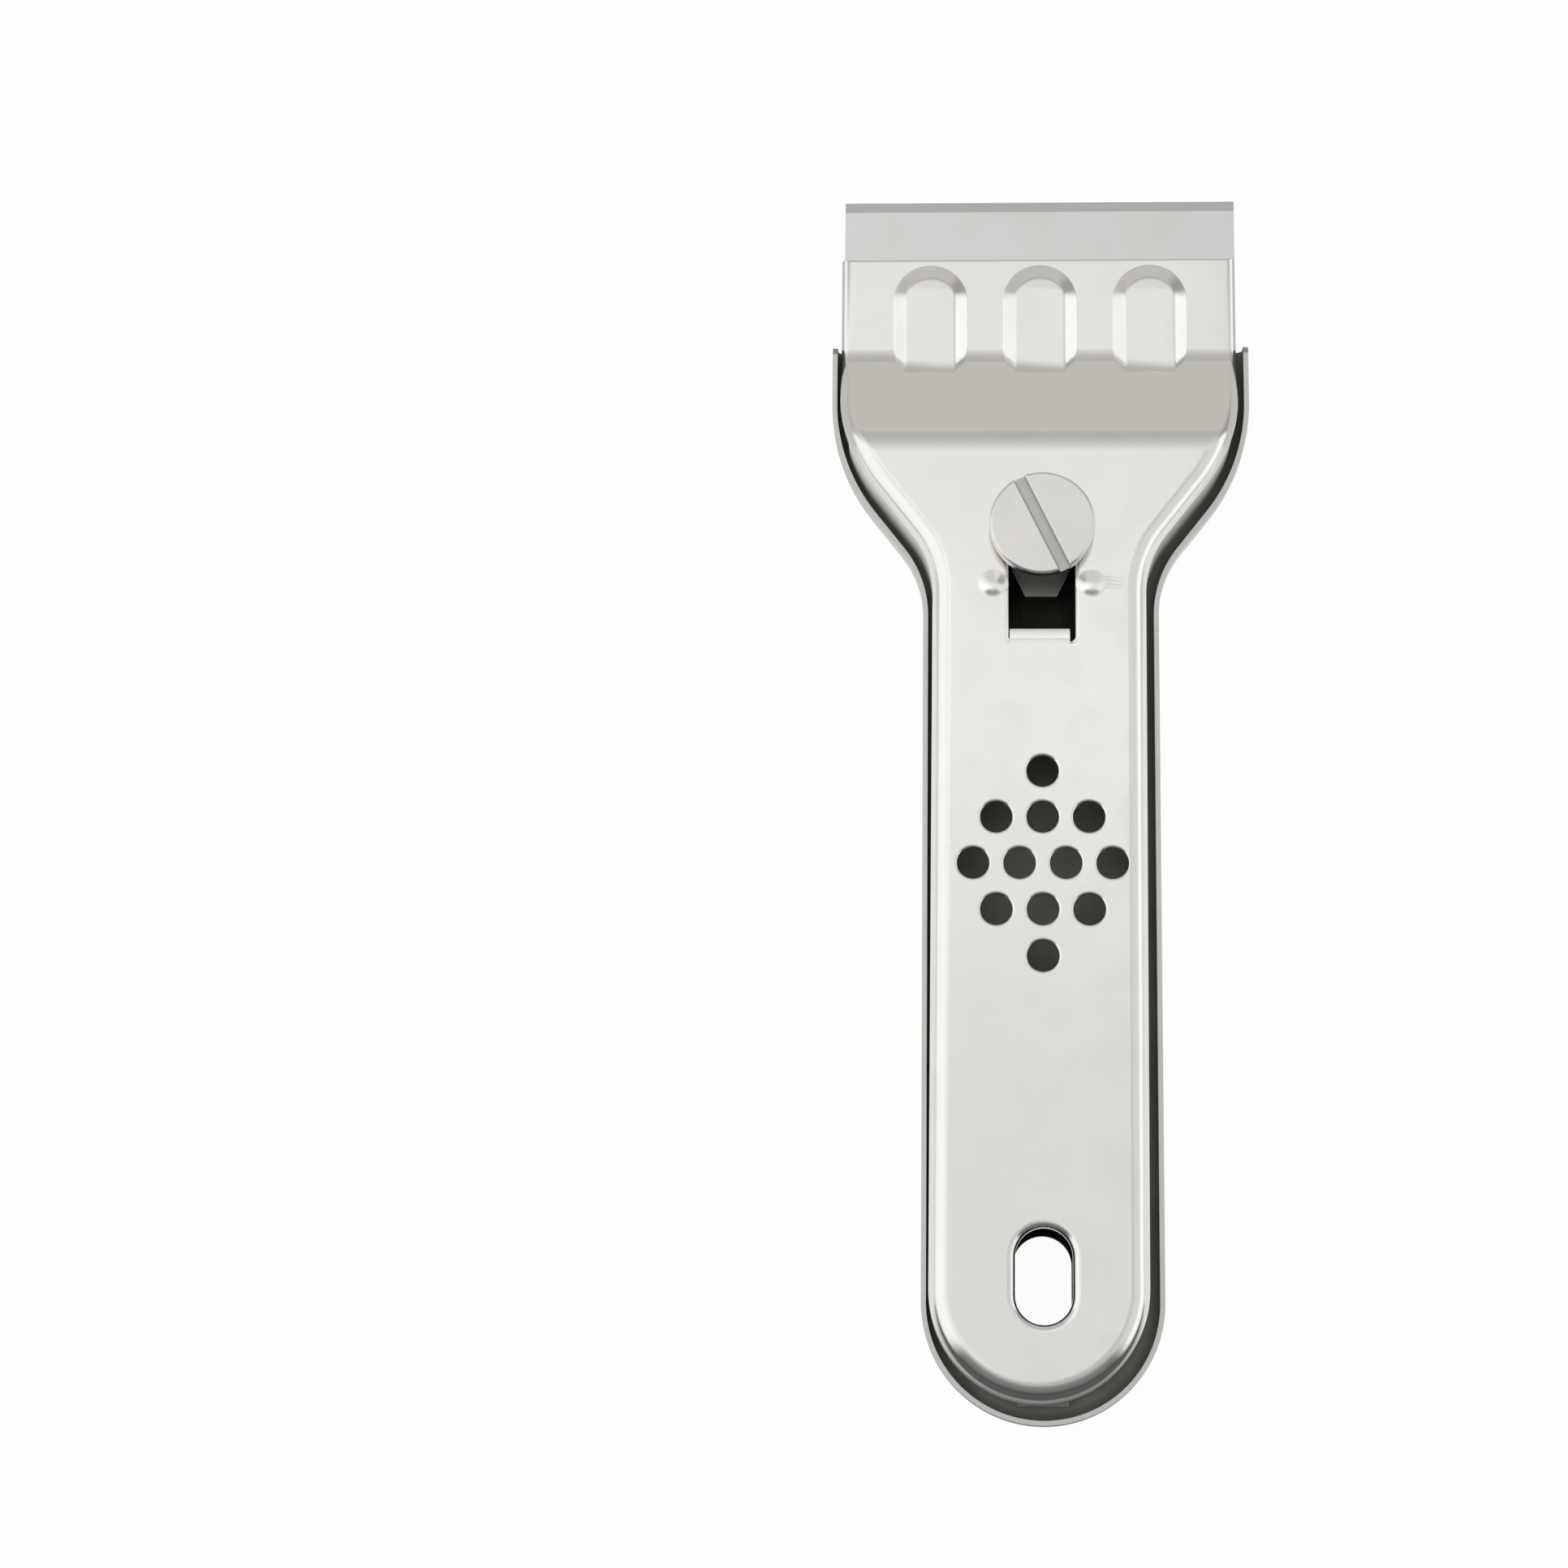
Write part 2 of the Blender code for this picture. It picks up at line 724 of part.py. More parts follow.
def make_bottom_tray():
    front_y = jaw_front_y + 2 * overrun
    top = tray_wall_top + 2 * overrun
    tray = tray_solid("bottom_tray", 0, front_y, top, parts)
    core = tray_solid("tray_core", sheet, front_y + 2 * overrun, top + 2 * overrun, cutters)
    nose_y = wall_front_y + wall_nose_lead
    wall_middle = (tray_wall_top + sheet) / 2
    above = side_prism(
        "wall_cut",
        rounded(
            [
                (tail_y - 4 * overrun, tray_wall_top),
                (nose_y, tray_wall_top),
                (nose_y, wall_middle),
                (jaw_front_y + 6 * overrun, wall_middle),
                (jaw_front_y + 6 * overrun, tray_wall_top + 6 * overrun),
                (tail_y - 4 * overrun, tray_wall_top + 6 * overrun),
            ],
            (0, wall_nose_radius + wall_nose_lead, 0, 0, 0, 0),
            bend_steps,
        ),
        far_width,
        cutters,
    )
    tongue_front = jaw_front_y - sheet
    tongue = rounded(
        [
            (far_half, tail_y - 2 * overrun),
            (far_half, wall_front_y),
            (tongue_half, wall_front_y),
            (tongue_half, tongue_front),
            (-tongue_half, tongue_front),
            (-tongue_half, wall_front_y),
            (-far_half, wall_front_y),
            (-far_half, tail_y - 2 * overrun),
        ],
        (0, 0, 0, tongue_corner, tongue_corner, 0, 0, 0),
        bend_steps,
    )
    keep = plate("tray_keep", tongue, -2 * overrun, tray_wall_top + 4 * overrun, cutters)

    inner_half = nut_side / 2 + gap
    ridge = box(
        "nut_channel_ridge",
        (-inner_half - sheet, inner_half + sheet),
        (nut_channel_rear_y, nut_channel_front_y),
        (sheet / 2, nut_channel_top),
        cutters,
    )
    bevel(ridge, nut_channel_edge, small_segments)
    trench = box(
        "nut_channel_trench",
        (-inner_half, inner_half),
        (nut_channel_rear_y + sheet, nut_channel_front_y - sheet),
        (-overrun, nut_channel_top - sheet),
        cutters,
    )
    bevel(trench, nut_channel_edge - sheet, small_segments)
    slot_middle = screw_y - travel / 2
    slot = plate(
        "nut_slot",
        stadium(shank_clearance, travel / 2 + shank_clearance + gap, slot_middle, arc_steps),
        nut_channel_top - 2 * sheet,
        nut_channel_top + overrun,
        cutters,
    )
    hang = plate(
        "tray_hang_hole",
        stadium(
            hang_half_width + tray_hang_margin,
            hang_half_length + tray_hang_margin,
            hang_y,
            2 * arc_steps,
        ),
        -overrun,
        overrun,
        cutters,
    )
    lug_points = [
        (lug_y, sheet / 2),
        (lug_y, nib_low + sheet),
        (lug_y - nib_reach, nib_low + sheet),
        (lug_y - nib_reach, nib_low),
        (lug_y - sheet, nib_low),
        (lug_y - sheet, sheet / 2),
    ]
    lug = side_prism("tail_lug", lug_points, 2 * lug_half, cutters)
    opening = box(
        "lug_opening",
        (-lug_half - nib_play, lug_half + nib_play),
        (lug_y + sheet / 2, lug_y + lug_opening),
        (-overrun, nib_low),
        cutters,
    )
    helper(core, above, keep, ridge, trench, slot, hang, lug, opening)
    boolean(tray, core, "DIFFERENCE")
    boolean(tray, above, "DIFFERENCE")
    boolean(tray, keep, "INTERSECT")
    boolean(tray, ridge, "UNION")
    boolean(tray, trench, "DIFFERENCE")
    boolean(tray, slot, "DIFFERENCE")
    boolean(tray, hang, "DIFFERENCE")
    boolean(tray, opening, "DIFFERENCE")
    boolean(tray, lug, "UNION")
    finish(tray, tray_steel)
    return tray


def make_blade():
    rear = edge_y - blade_length
    blade = side_prism(
        "blade",
        [
            (rear, blade_low),
            (edge_y, blade_low),
            (edge_y, blade_low + edge_thickness),
            (edge_y - ground_bevel, blade_high),
            (rear, blade_high),
        ],
        blade_width,
        parts,
    )
    half = blade_width / 2
    keep = plate(
        "blade_keep",
        [
            (-half + blade_corner, rear - overrun),
            (half - blade_corner, rear - overrun),
            (half - blade_corner, rear),
            (half, rear + blade_corner),
            (far_half, rear + blade_corner),
            (far_half, edge_y + overrun),
            (-far_half, edge_y + overrun),
            (-far_half, rear + blade_corner),
            (-half, rear + blade_corner),
            (-half + blade_corner, rear),
        ],
        -overrun,
        overrun,
        cutters,
    )
    centres = peg_places()
    holes = cylinders("blade_holes", centres, peg_clearance, -overrun, overrun, hole_segments, cutters)
    notches = cylinders(
        "blade_notches",
        [(-half, peg_y), (half, peg_y)],
        blade_notch_radius,
        -overrun,
        overrun,
        hole_segments,
        cutters,
    )
    helper(keep, holes, notches)
    boolean(blade, keep, "INTERSECT")
    boolean(blade, holes, "DIFFERENCE")
    boolean(blade, notches, "DIFFERENCE")
    finish(blade, blade_steel, blade_smooth_angle)
    return blade


def peg_places():
    return [(index * channel_pitch, peg_y) for index in (-1, 0, 1)]


def make_carrier():
    front = jaw_front_y - carrier_front_setback
    rise = tongue_low - carrier_low
    run = carrier_ramp_low_y - carrier_ramp_high_y
    shift = carrier_thickness * tan(asin(rise / hypot(rise, run)) / 2)
    bend = carrier_thickness
    strip = rounded(
        [
            (front, carrier_low),
            (front, carrier_high),
            (carrier_ramp_low_y + shift, carrier_high),
            (carrier_ramp_high_y + shift, tongue_high),
            (carrier_rear_y, tongue_high),
            (carrier_rear_y, tongue_low),
            (carrier_ramp_high_y, tongue_low),
            (carrier_ramp_low_y, carrier_low),
        ],
        (0, 0, bend, 2 * bend, 0, 0, bend, 2 * bend),
        bend_steps,
    )
    carrier = side_prism("blade_carrier", strip, far_half, parts)
    half = carrier_half
    corner = carrier_corner
    keep = plate(
        "carrier_keep",
        rounded(
            [
                (half, front + overrun),
                (half, carrier_wide_rear_y),
                (carrier_tongue_half, carrier_wide_rear_y),
                (carrier_tongue_half, carrier_taper_y),
                (carrier_tip_half, carrier_rear_y),
                (carrier_tip_half, carrier_rear_y - overrun),
                (-carrier_tip_half, carrier_rear_y - overrun),
                (-carrier_tip_half, carrier_rear_y),
                (-carrier_tongue_half, carrier_taper_y),
                (-carrier_tongue_half, carrier_wide_rear_y),
                (-half, carrier_wide_rear_y),
                (-half, front + overrun),
            ],
            (0, corner, corner, corner, 0, 0, 0, 0, corner, corner, corner, 0),
            bend_steps,
        ),
        -overrun,
        cover_top,
        cutters,
    )
    centres = peg_places()
    peg_holes = cylinders("carrier_peg_holes", centres, peg_clearance, 0, cover_top, hole_segments, cutters)
    centres = [(0, screw_y)]
    shank = cylinders("carrier_shank_hole", centres, shank_clearance, 0, cover_top, hole_segments, cutters)
    helper(keep, peg_holes, shank)
    boolean(carrier, keep, "INTERSECT")
    boolean(carrier, peg_holes, "DIFFERENCE")
    boolean(carrier, shank, "DIFFERENCE")
    finish(carrier, carrier_steel)
    return carrier


def make_peg(name, x):
    top = peg_head_low + peg_head_thickness
    profile = [
        (0, top),
        (peg_head_radius - peg_edge, top),
        (peg_head_radius, top - peg_edge),
        (peg_head_radius, peg_head_low),
        (peg_radius, peg_head_low),
        (peg_radius, blade_low + peg_edge),
        (peg_radius - peg_edge, blade_low),
        (0, blade_low),
    ]
    peg = turned(name, profile, False, (x, peg_y, 0), small_turn_steps, parts)
    finish(peg, carrier_steel)
    return peg


def make_screw():
    head_low = cover_top + head_lift
    head_high = head_low + head_thickness
    collar_low = tongue_high + gap
    profile = [(0, head_high), (head_radius - head_edge, head_high)]
    for step in range(1, small_segments + 1):
        angle = pi / 2 * (1 - step / small_segments)
        r = head_radius - head_edge + head_edge * cos(angle)
        profile.append((r, head_high - head_edge + head_edge * sin(angle)))
    profile += [(head_radius, head_low + thread_depth), (head_radius - thread_depth, head_low)]
    profile += [(collar_radius, head_low), (collar_radius, collar_low)]
    profile += [(shank_radius - thread_depth, collar_low)]
    turns = int((collar_low - shank_end) / thread_pitch)
    for turn in range(turns):
        crest = collar_low - turn * thread_pitch - thread_pitch / 2
        profile.append((shank_radius, crest))
        profile.append((shank_radius - thread_depth, crest - thread_pitch / 2))
    profile += [(shank_radius - 2 * thread_depth, shank_end), (0, shank_end)]
    screw = turned("clamp_screw", profile, False, (0, screw_y, 0), turn_steps, parts)
    slot = box(
        "driver_slot",
        (-driver_slot_width / 2, driver_slot_width / 2),
        (-2 * head_radius, 2 * head_radius),
        (head_high - driver_slot_depth, head_high + overrun),
        cutters,
    )
    slot.location.y += screw_y
    slot.rotation_euler.z = driver_slot_angle
    helper(slot)
    boolean(screw, slot, "DIFFERENCE")
    finish(screw, screw_steel)
    return screw


def make_spacer_ring():
    low = cover_top + head_lift - gap - ring_thickness
    profile = [
        (ring_inner, low + ring_thickness),
        (ring_outer, low + ring_thickness),
        (ring_outer, low),
        (ring_inner, low),
    ]
    ring = turned("spacer_ring", profile, True, (0, screw_y, 0), turn_steps, parts)
    finish(ring, screw_steel)
    return ring


def make_nut():
    half = nut_side / 2
    nut = box("square_nut", (-half, half), (screw_y - half, screw_y + half), (nut_low, nut_high), parts)
    bevel(nut, nut_edge, 1)
    centres = [(0, screw_y)]
    bore = cylinders("nut_bore", centres, shank_clearance, -overrun, overrun, hole_segments, cutters)
    helper(bore)
    boolean(nut, bore, "DIFFERENCE")
    finish(nut, screw_steel)
    return nut


def joint_axis(name, location):
    marker = bpy.data.objects.new(name, None)
    marker.empty_display_size = marker_size
    marker.location = location
    parts.objects.link(marker)
    return marker


def carry(parent, *children):
    """Parents the pieces to a joint's marker without moving them."""
    bpy.context.view_layer.update()
    for child in children:
        child.parent = parent
        child.matrix_parent_inverse = parent.matrix_world.inverted()


clear_scene()
parts = new_collection("hob_scraper")
cutters = new_collection("cutters")

cover_steel = steel("cover_steel", (0.74, 0.73, 0.71), 0.3)
tray_steel = steel("tray_steel", (0.70, 0.69, 0.67), 0.32)
blade_steel = steel("blade_steel", (0.60, 0.62, 0.64), 0.22)
carrier_steel = steel("carrier_steel", (0.56, 0.56, 0.55), 0.4)
screw_steel = steel("screw_steel", (0.72, 0.71, 0.68), 0.28)

top_shell = make_top_shell()
bottom_tray = make_bottom_tray()
blade = make_blade()
carrier = make_carrier()
pegs = [
    make_peg(f"blade_peg_{side}", x)
    for side, (x, y) in zip(("left", "centre", "right"), peg_places())
]
clamp_screw = make_screw()
spacer_ring = make_spacer_ring()
nut = make_nut()

slide_axis = joint_axis("slide_axis", (0, screw_y, tongue_low))
screw_axis = joint_axis("screw_axis", (0, screw_y, cover_top))
carry(slide_axis, screw_axis, carrier, blade, *pegs, nut)
carry(screw_axis, clamp_screw, spacer_ring)
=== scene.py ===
# %% [markdown]
# # A hob scraper, dressed for its photograph
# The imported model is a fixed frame. It says where each piece is and which body it moves with. This
# lesson builds the pressed sheets again with finer bends, because bright steel shows every facet, and
# it gives each piece its finish. Lengths are in metres, +Y points to the cutting edge and +Z is up.

# %% Load the frame
from math import asin, cos, hypot, pi, radians, sin, sqrt, tan

import bmesh
import bpy
from mathutils import Matrix, Quaternion, Vector


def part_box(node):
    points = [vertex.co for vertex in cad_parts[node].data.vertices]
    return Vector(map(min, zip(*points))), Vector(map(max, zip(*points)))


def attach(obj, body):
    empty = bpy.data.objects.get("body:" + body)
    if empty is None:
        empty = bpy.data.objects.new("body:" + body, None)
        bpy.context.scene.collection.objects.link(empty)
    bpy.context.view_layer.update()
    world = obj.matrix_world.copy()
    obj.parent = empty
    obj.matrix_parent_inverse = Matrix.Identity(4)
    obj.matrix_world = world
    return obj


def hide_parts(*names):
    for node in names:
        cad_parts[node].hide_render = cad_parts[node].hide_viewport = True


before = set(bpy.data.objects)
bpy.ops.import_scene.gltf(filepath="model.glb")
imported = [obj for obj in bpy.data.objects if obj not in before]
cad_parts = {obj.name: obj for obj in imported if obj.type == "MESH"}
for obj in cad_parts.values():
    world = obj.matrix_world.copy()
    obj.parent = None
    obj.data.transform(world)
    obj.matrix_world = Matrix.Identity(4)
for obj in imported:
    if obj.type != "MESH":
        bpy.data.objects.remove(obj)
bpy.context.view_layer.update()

MM = 0.001

# %% [markdown]
# ## The camera
# The scraper was photographed from almost straight above, tilted 12 degrees towards the tail. The
# place and turn below were fitted to a dozen measured points. A long lens from 0.4 m keeps the
# handle nearly parallel, and the picture needs no lens shift.

# %% Set up the camera
camera_place = Vector((-7.7, -84.8, 389.8)) * MM
# One vector for the turn: its direction is the axis and its length is the angle
camera_turn = Vector((0.21717, 0.04491, 0.00618))
camera_lens = 91.23
sensor_width = 36.0
nearest_seen = 0.01
camera = bpy.data.objects.new("camera", bpy.data.cameras.new("camera"))
camera.data.lens = camera_lens
camera.data.sensor_width = sensor_width
camera.data.clip_start = nearest_seen
camera.location = camera_place
camera.rotation_mode = "QUATERNION"
camera.rotation_quaternion = Quaternion(camera_turn.normalized(), camera_turn.length)
bpy.context.scene.collection.objects.link(camera)
bpy.context.scene.camera = camera
print("camera is", round(camera_place.length, 3), "m from the origin")

# %% [markdown]
# ## A small kit for node trees
# Every finish and the studio are built from nodes. One helper adds a node, sets its plain inputs and
# joins it to others, so that a recipe reads as a list of steps.

# %% Node helper
def node(tree, kind, inputs=None, **settings):
    made = tree.nodes.new(kind)
    for key, value in settings.items():
        setattr(made, key, value)
    for key, value in (inputs or {}).items():
        if isinstance(value, bpy.types.NodeSocket):
            tree.links.new(value, made.inputs[key])
        else:
            made.inputs[key].default_value = value
    return made


def maths(tree, operation, first, second=0.0, third=0.0):
    return node(tree, "ShaderNodeMath", {0: first, 1: second, 2: third}, operation=operation).outputs[0]


def between(tree, value, low, high, start=0.0, end=1.0):
    """A soft step: start below low, end above high."""
    inputs = {"Value": value, "From Min": low, "From Max": high, "To Min": start, "To Max": end}
    step = node(tree, "ShaderNodeMapRange", inputs, interpolation_type="SMOOTHSTEP")
    return step.outputs[0]


def ramp(tree, value, stops):
    """A colour ramp from (position, colour) stops."""
    made = node(tree, "ShaderNodeValToRGB", {"Fac": value})
    points = made.color_ramp.elements
    points[0].position, points[0].color = stops[0][0], (*stops[0][1], 1)
    points[1].position, points[1].color = stops[-1][0], (*stops[-1][1], 1)
    for place, colour in stops[1:-1]:
        points.new(place).color = (*colour, 1)
    return made.outputs[0]


def mixed(tree, share, first, second):
    made = node(tree, "ShaderNodeMix", data_type="RGBA")
    for socket, value in ((made.inputs[0], share), (made.inputs[6], first), (made.inputs[7], second)):
        if isinstance(value, bpy.types.NodeSocket):
            tree.links.new(value, socket)
        else:
            socket.default_value = value
    return made.outputs[2]


print("helpers:", ", ".join(helper.__name__ for helper in (node, maths, between, ramp, mixed)))

# %% [markdown]
# ## The studio
# Bright steel has no colour of its own to speak of: it shows the room. The room here is a white tent
# with a softer grey wall in front, bright panels to the left and right, and darkness behind the
# camera. That darkness draws the black line round the tail and the dark spot behind each pip.
# Flat steel under a camera straight above shows only a small patch of the ceiling, so that patch has
# its own steps: brighter over the middle of the handle, duller to the right.
# The world does this by direction, for glossy rays only. Every other ray sees an even white.

# %% Levels of the tent
blue_share = 0.985


def greys(*stops):
    """Almost neutral stops for a ramp, from (position, level) pairs."""
    return [(place, (level, level, blue_share * level)) for place, level in stops]


# A wall's ramp runs from the horizon at 0 to straight up at 1
front_wall = ((0.0, (0.56, 0.545, 0.52)), (0.14, (0.625, 0.606, 0.578)), (0.26, (0.66, 0.645, 0.62)),
              (0.42, (0.54, 0.53, 0.51)), (0.55, (0.54, 0.53, 0.51)), (0.73, (0.60, 0.59, 0.575)),
              (0.88, (0.78, 0.775, 0.76)), (0.95, (0.88, 0.88, 0.865)))
back_wall = greys((0.0, 0.06), (0.2, 0.12), (0.4, 0.19), (0.72, 0.25), (0.83, 0.42), (0.92, 0.6),
                  (0.97, 0.72))
right_corner = greys((0.0, 0.35), (0.5, 0.48), (0.8, 0.75), (0.95, 0.9))
left_corner = greys((0.0, 0.5), (0.5, 0.7), (0.8, 1.0), (0.95, 1.05))
left_panel = greys((0.0, 0.7), (0.25, 1.13), (0.8, 1.17), (0.9, 1.12), (0.96, 1.03))
right_panel = greys((0.0, 0.7), (0.2, 1.2), (0.45, 1.2), (0.6, 0.82), (0.95, 0.8))

# The ceiling is one ramp from behind to ahead times one from left to right, with straight up at 0.5
ceiling_ahead = greys((0.1, 0.55), (0.26, 0.7), (0.4, 0.81), (0.55, 0.85), (0.655, 0.855),
                      (0.68, 0.89), (0.705, 1.0), (0.73, 1.04), (0.76, 1.04), (0.778, 0.91),
                      (0.79, 0.93), (0.81, 0.95), (0.9, 0.95))
ceiling_across = greys((0.0, 1.3), (0.3, 1.14), (0.44, 1.1), (0.47, 1.12), (0.483, 0.96),
                       (0.5, 0.935), (0.515, 1.01), (0.555, 1.1), (0.578, 0.82), (0.75, 0.8))

# Where one wall blends into the next, as the direction's share ahead, to a side or up
corners_meet = (-0.25, 0.0)
back_ends = (-0.35, 0.25)
front_starts = (0.75, 0.92)
panel_starts = (0.78, 0.93)
ceiling_starts = (0.9, 0.95)
plain_level = 0.8
print("brightest panel:", max(colour[0] for place, colour in left_panel + right_panel))


# %% Build the tent
def build_tent():
    world = bpy.data.worlds.new("tent")
    bpy.context.scene.world = world
    world.use_nodes = True
    tree = world.node_tree
    tree.nodes.clear()
    way = node(tree, "ShaderNodeTexCoord").outputs["Generated"]
    x, y, z = node(tree, "ShaderNodeSeparateXYZ", {0: way}).outputs
    flat = maths(tree, "SQRT", maths(tree, "SUBTRACT", 1.0, maths(tree, "MULTIPLY", z, z)))
    flat = maths(tree, "MAXIMUM", flat, 0.001)
    ahead = maths(tree, "DIVIDE", y, flat)
    side = maths(tree, "DIVIDE", x, flat)
    left_ends = (-panel_starts[1], -panel_starts[0])
    from_left = between(tree, x, *corners_meet)
    corner = mixed(tree, from_left, ramp(tree, z, left_corner), ramp(tree, z, right_corner))
    room = mixed(tree, between(tree, ahead, *back_ends), ramp(tree, z, back_wall), corner)
    room = mixed(tree, between(tree, ahead, *front_starts), room, ramp(tree, z, front_wall))
    room = mixed(tree, between(tree, side, *panel_starts), room, ramp(tree, z, right_panel))
    room = mixed(tree, between(tree, side, *left_ends), ramp(tree, z, left_panel), room)
    over = ramp(tree, maths(tree, "ADD", y, 0.5), ceiling_ahead)
    across = ramp(tree, maths(tree, "ADD", x, 0.5), ceiling_across)
    ceiling = node(tree, "ShaderNodeVectorMath", {0: over, 1: across}, operation="MULTIPLY").outputs[0]
    room = mixed(tree, between(tree, z, *ceiling_starts), room, ceiling)
    rays = node(tree, "ShaderNodeLightPath").outputs
    glossy = node(tree, "ShaderNodeBackground", {"Color": room, "Strength": 1.0})
    seen = maths(tree, "MAXIMUM", rays["Is Camera Ray"], rays["Is Transmission Ray"])
    level = between(tree, seen, 0.0, 1.0, plain_level, 1.0)
    white = node(tree, "ShaderNodeBackground", {"Color": (1, 1, 1, 1), "Strength": level})
    share = rays["Is Glossy Ray"]
    both = node(tree, "ShaderNodeMixShader", {0: share, 1: white.outputs[0], 2: glossy.outputs[0]})
    node(tree, "ShaderNodeOutputWorld", {"Surface": both.outputs[0]})


build_tent()
bpy.context.scene.view_settings.view_transform = "Standard"
print("nodes in the tent:", len(bpy.context.scene.world.node_tree.nodes))

# %% [markdown]
# A single soft lamp overhead gives the floor its faint shadow. It is large, so the shadow has no edge.
# Reflections leave it out, because the tent already holds the white top.

# %% Hang the lamp
lamp_side = 0.6
lamp_power = 1.6
lamp_place = Vector((-0.25, 0.15, 0.8))
lamp = bpy.data.objects.new("soft_lamp", bpy.data.lights.new("soft_lamp", "AREA"))
lamp.data.size = lamp_side
lamp.data.energy = lamp_power
lamp.location = lamp_place
lamp.rotation_euler = (-lamp_place).to_track_quat("-Z", "Y").to_euler()
lamp.visible_glossy = False
bpy.context.scene.collection.objects.link(lamp)
print("lamp", lamp_side, "m wide at", round(lamp_place.z, 2), "m")

# %% [markdown]
# ## The floor
# The scraper lies on a white sheet of paper. The camera and the steel see mostly its plain white, and
# a share of real shading is kept, so that the scraper still has a soft shadow. In reflections the paper
# carries painted shade: it is dark behind the tail and greyer ahead of the blade, standing in for the
# scraper's own shadow, and this shapes the rounded edges there. The nut's slot goes through the tray,
# so the paper's plain white would shine up through the screw's window. A patch of painted shadow, a
# near-black tone on the paper below the tray that is seen only through that window, keeps it as black
# as the shade there really is.

# %% Lay the floor
floor_half = 1.5
floor_drop = 0.05 * MM
floor_glow = 0.96
white_paper = (0.96, 0.96, 0.96, 1)
# The near-black tone is painted shadow, used only below the screw's window
painted_shadow_tone = (0.06, 0.06, 0.05, 1)
# Painted shade: how bright the sheet is in reflections, from behind the tail to ahead of the blade
floor_mirrored = ((0.17, 0.08), (0.23, 0.9), (0.6, 0.95), (0.7, 0.6))
floor_mirrored_length = 200 * MM
# The patch of painted shadow below the screw's window
dark_patch_half = 5 * MM
dark_patch_length = 11 * MM
dark_patch_y = 21 * MM
dark_patch_edge = 1 * MM


def lay_floor():
    finish = bpy.data.materials.new("white_sheet")
    finish.use_nodes = True
    tree = finish.node_tree
    tree.nodes.clear()
    rays = node(tree, "ShaderNodeLightPath").outputs
    seen = maths(tree, "ADD", rays["Is Camera Ray"], rays["Is Glossy Ray"])
    seen = maths(tree, "ADD", seen, rays["Is Transmission Ray"])
    place = node(tree, "ShaderNodeTexCoord").outputs["Object"]
    place = node(tree, "ShaderNodeSeparateXYZ", {0: place}).outputs
    # Below the window the paper neither glows nor is white: it is painted shadow
    across = maths(tree, "ABSOLUTE", place["X"])
    beside = between(tree, across, dark_patch_half, dark_patch_half + dark_patch_edge)
    along = maths(tree, "ABSOLUTE", maths(tree, "SUBTRACT", place["Y"], dark_patch_y))
    beyond = between(tree, along, dark_patch_length, dark_patch_length + dark_patch_edge)
    underneath = node(tree, "ShaderNodeNewGeometry").outputs["Backfacing"]
    open_floor = maths(tree, "MAXIMUM", maths(tree, "MAXIMUM", beside, beyond), underneath)
    lit = maths(tree, "MULTIPLY", open_floor, floor_glow)
    share = maths(tree, "MULTIPLY", maths(tree, "MINIMUM", seen, 1.0), lit)
    forward = maths(tree, "MULTIPLY_ADD", place["Y"], 1 / floor_mirrored_length, 0.5)
    mirrored = ramp(tree, forward, greys(*floor_mirrored))
    level = mixed(tree, rays["Is Glossy Ray"], (1, 1, 1, 1), mirrored)
    tone = mixed(tree, open_floor, painted_shadow_tone, white_paper)
    paper = node(tree, "ShaderNodeBsdfDiffuse", {"Color": tone})
    white = node(tree, "ShaderNodeEmission", {"Color": level, "Strength": 1.0})
    both = node(tree, "ShaderNodeMixShader", {0: share, 1: paper.outputs[0], 2: white.outputs[0]})
    node(tree, "ShaderNodeOutputMaterial", {"Surface": both.outputs[0]})
    data = bpy.data.meshes.new("floor")
    half = floor_half
    corners = [(-half, -half, 0), (half, -half, 0), (half, half, 0), (-half, half, 0)]
    data.from_pydata(corners, [], [(0, 1, 2, 3)])
    data.materials.append(finish)
    floor = bpy.data.objects.new("floor", data)
    floor.location.z = -floor_drop
    bpy.context.scene.collection.objects.link(floor)


lay_floor()
print("floor", 2 * floor_half, "m square, dark for", round(2 * dark_patch_length / MM),
      "mm below the window")

# %% [markdown]
# ## Steel
# All the pieces are steel, and none is evenly bright. Rolled sheet has a faint grain along its length,
# a slow waviness that bends reflections, thin scratches and patches that fingers left duller. One
# recipe makes all the steels, with the strength of each trait as a value. A rounded-edge node
# catches light on edges too small to be worth a bevel.

# %% The steel recipe
edge_softness = 0.09 * MM
wave_size = 9 * MM
smudge_size = 5 * MM
smudge_starts = (0.42, 0.68)
scratch_width = 0.35 * MM
scratch_run = 4 * MM
scratch_starts = (0.73, 0.79)
# The turn of each family of scratches, and how many runs one is long
scratch_families = ((0.5, 3.1), (-0.7, 4.3), (1.9, 3.7))
grain_roughness = 0.03
grain_starts = (0.2, 0.8)
grain_strength = 0.2
grain_brightness = 1.05


def noise(tree, place, scale, detail):
    inputs = {"Vector": place, "Scale": scale, "Detail": detail}
    return node(tree, "ShaderNodeTexNoise", inputs).outputs[0]


def moved(tree, operation, first, second):
    return node(tree, "ShaderNodeVectorMath", {0: first, 1: second}, operation=operation).outputs[0]


def scratches(tree, place):
    """Thin marks in a few directions: 1 on a scratch, 0 beside it."""
    lines = None
    for turn, runs in scratch_families:
        inputs = {"Vector": place, "Angle": turn}
        swung = node(tree, "ShaderNodeVectorRotate", inputs, rotation_type="Z_AXIS").outputs[0]
        stretch = (1 / scratch_width, 1 / (runs * scratch_run), 1 / scratch_run)
        streak = noise(tree, moved(tree, "MULTIPLY", swung, stretch), 1.0, 1.0)
        mark = between(tree, streak, *scratch_starts)
        lines = mark if lines is None else maths(tree, "MAXIMUM", lines, mark)
    return lines


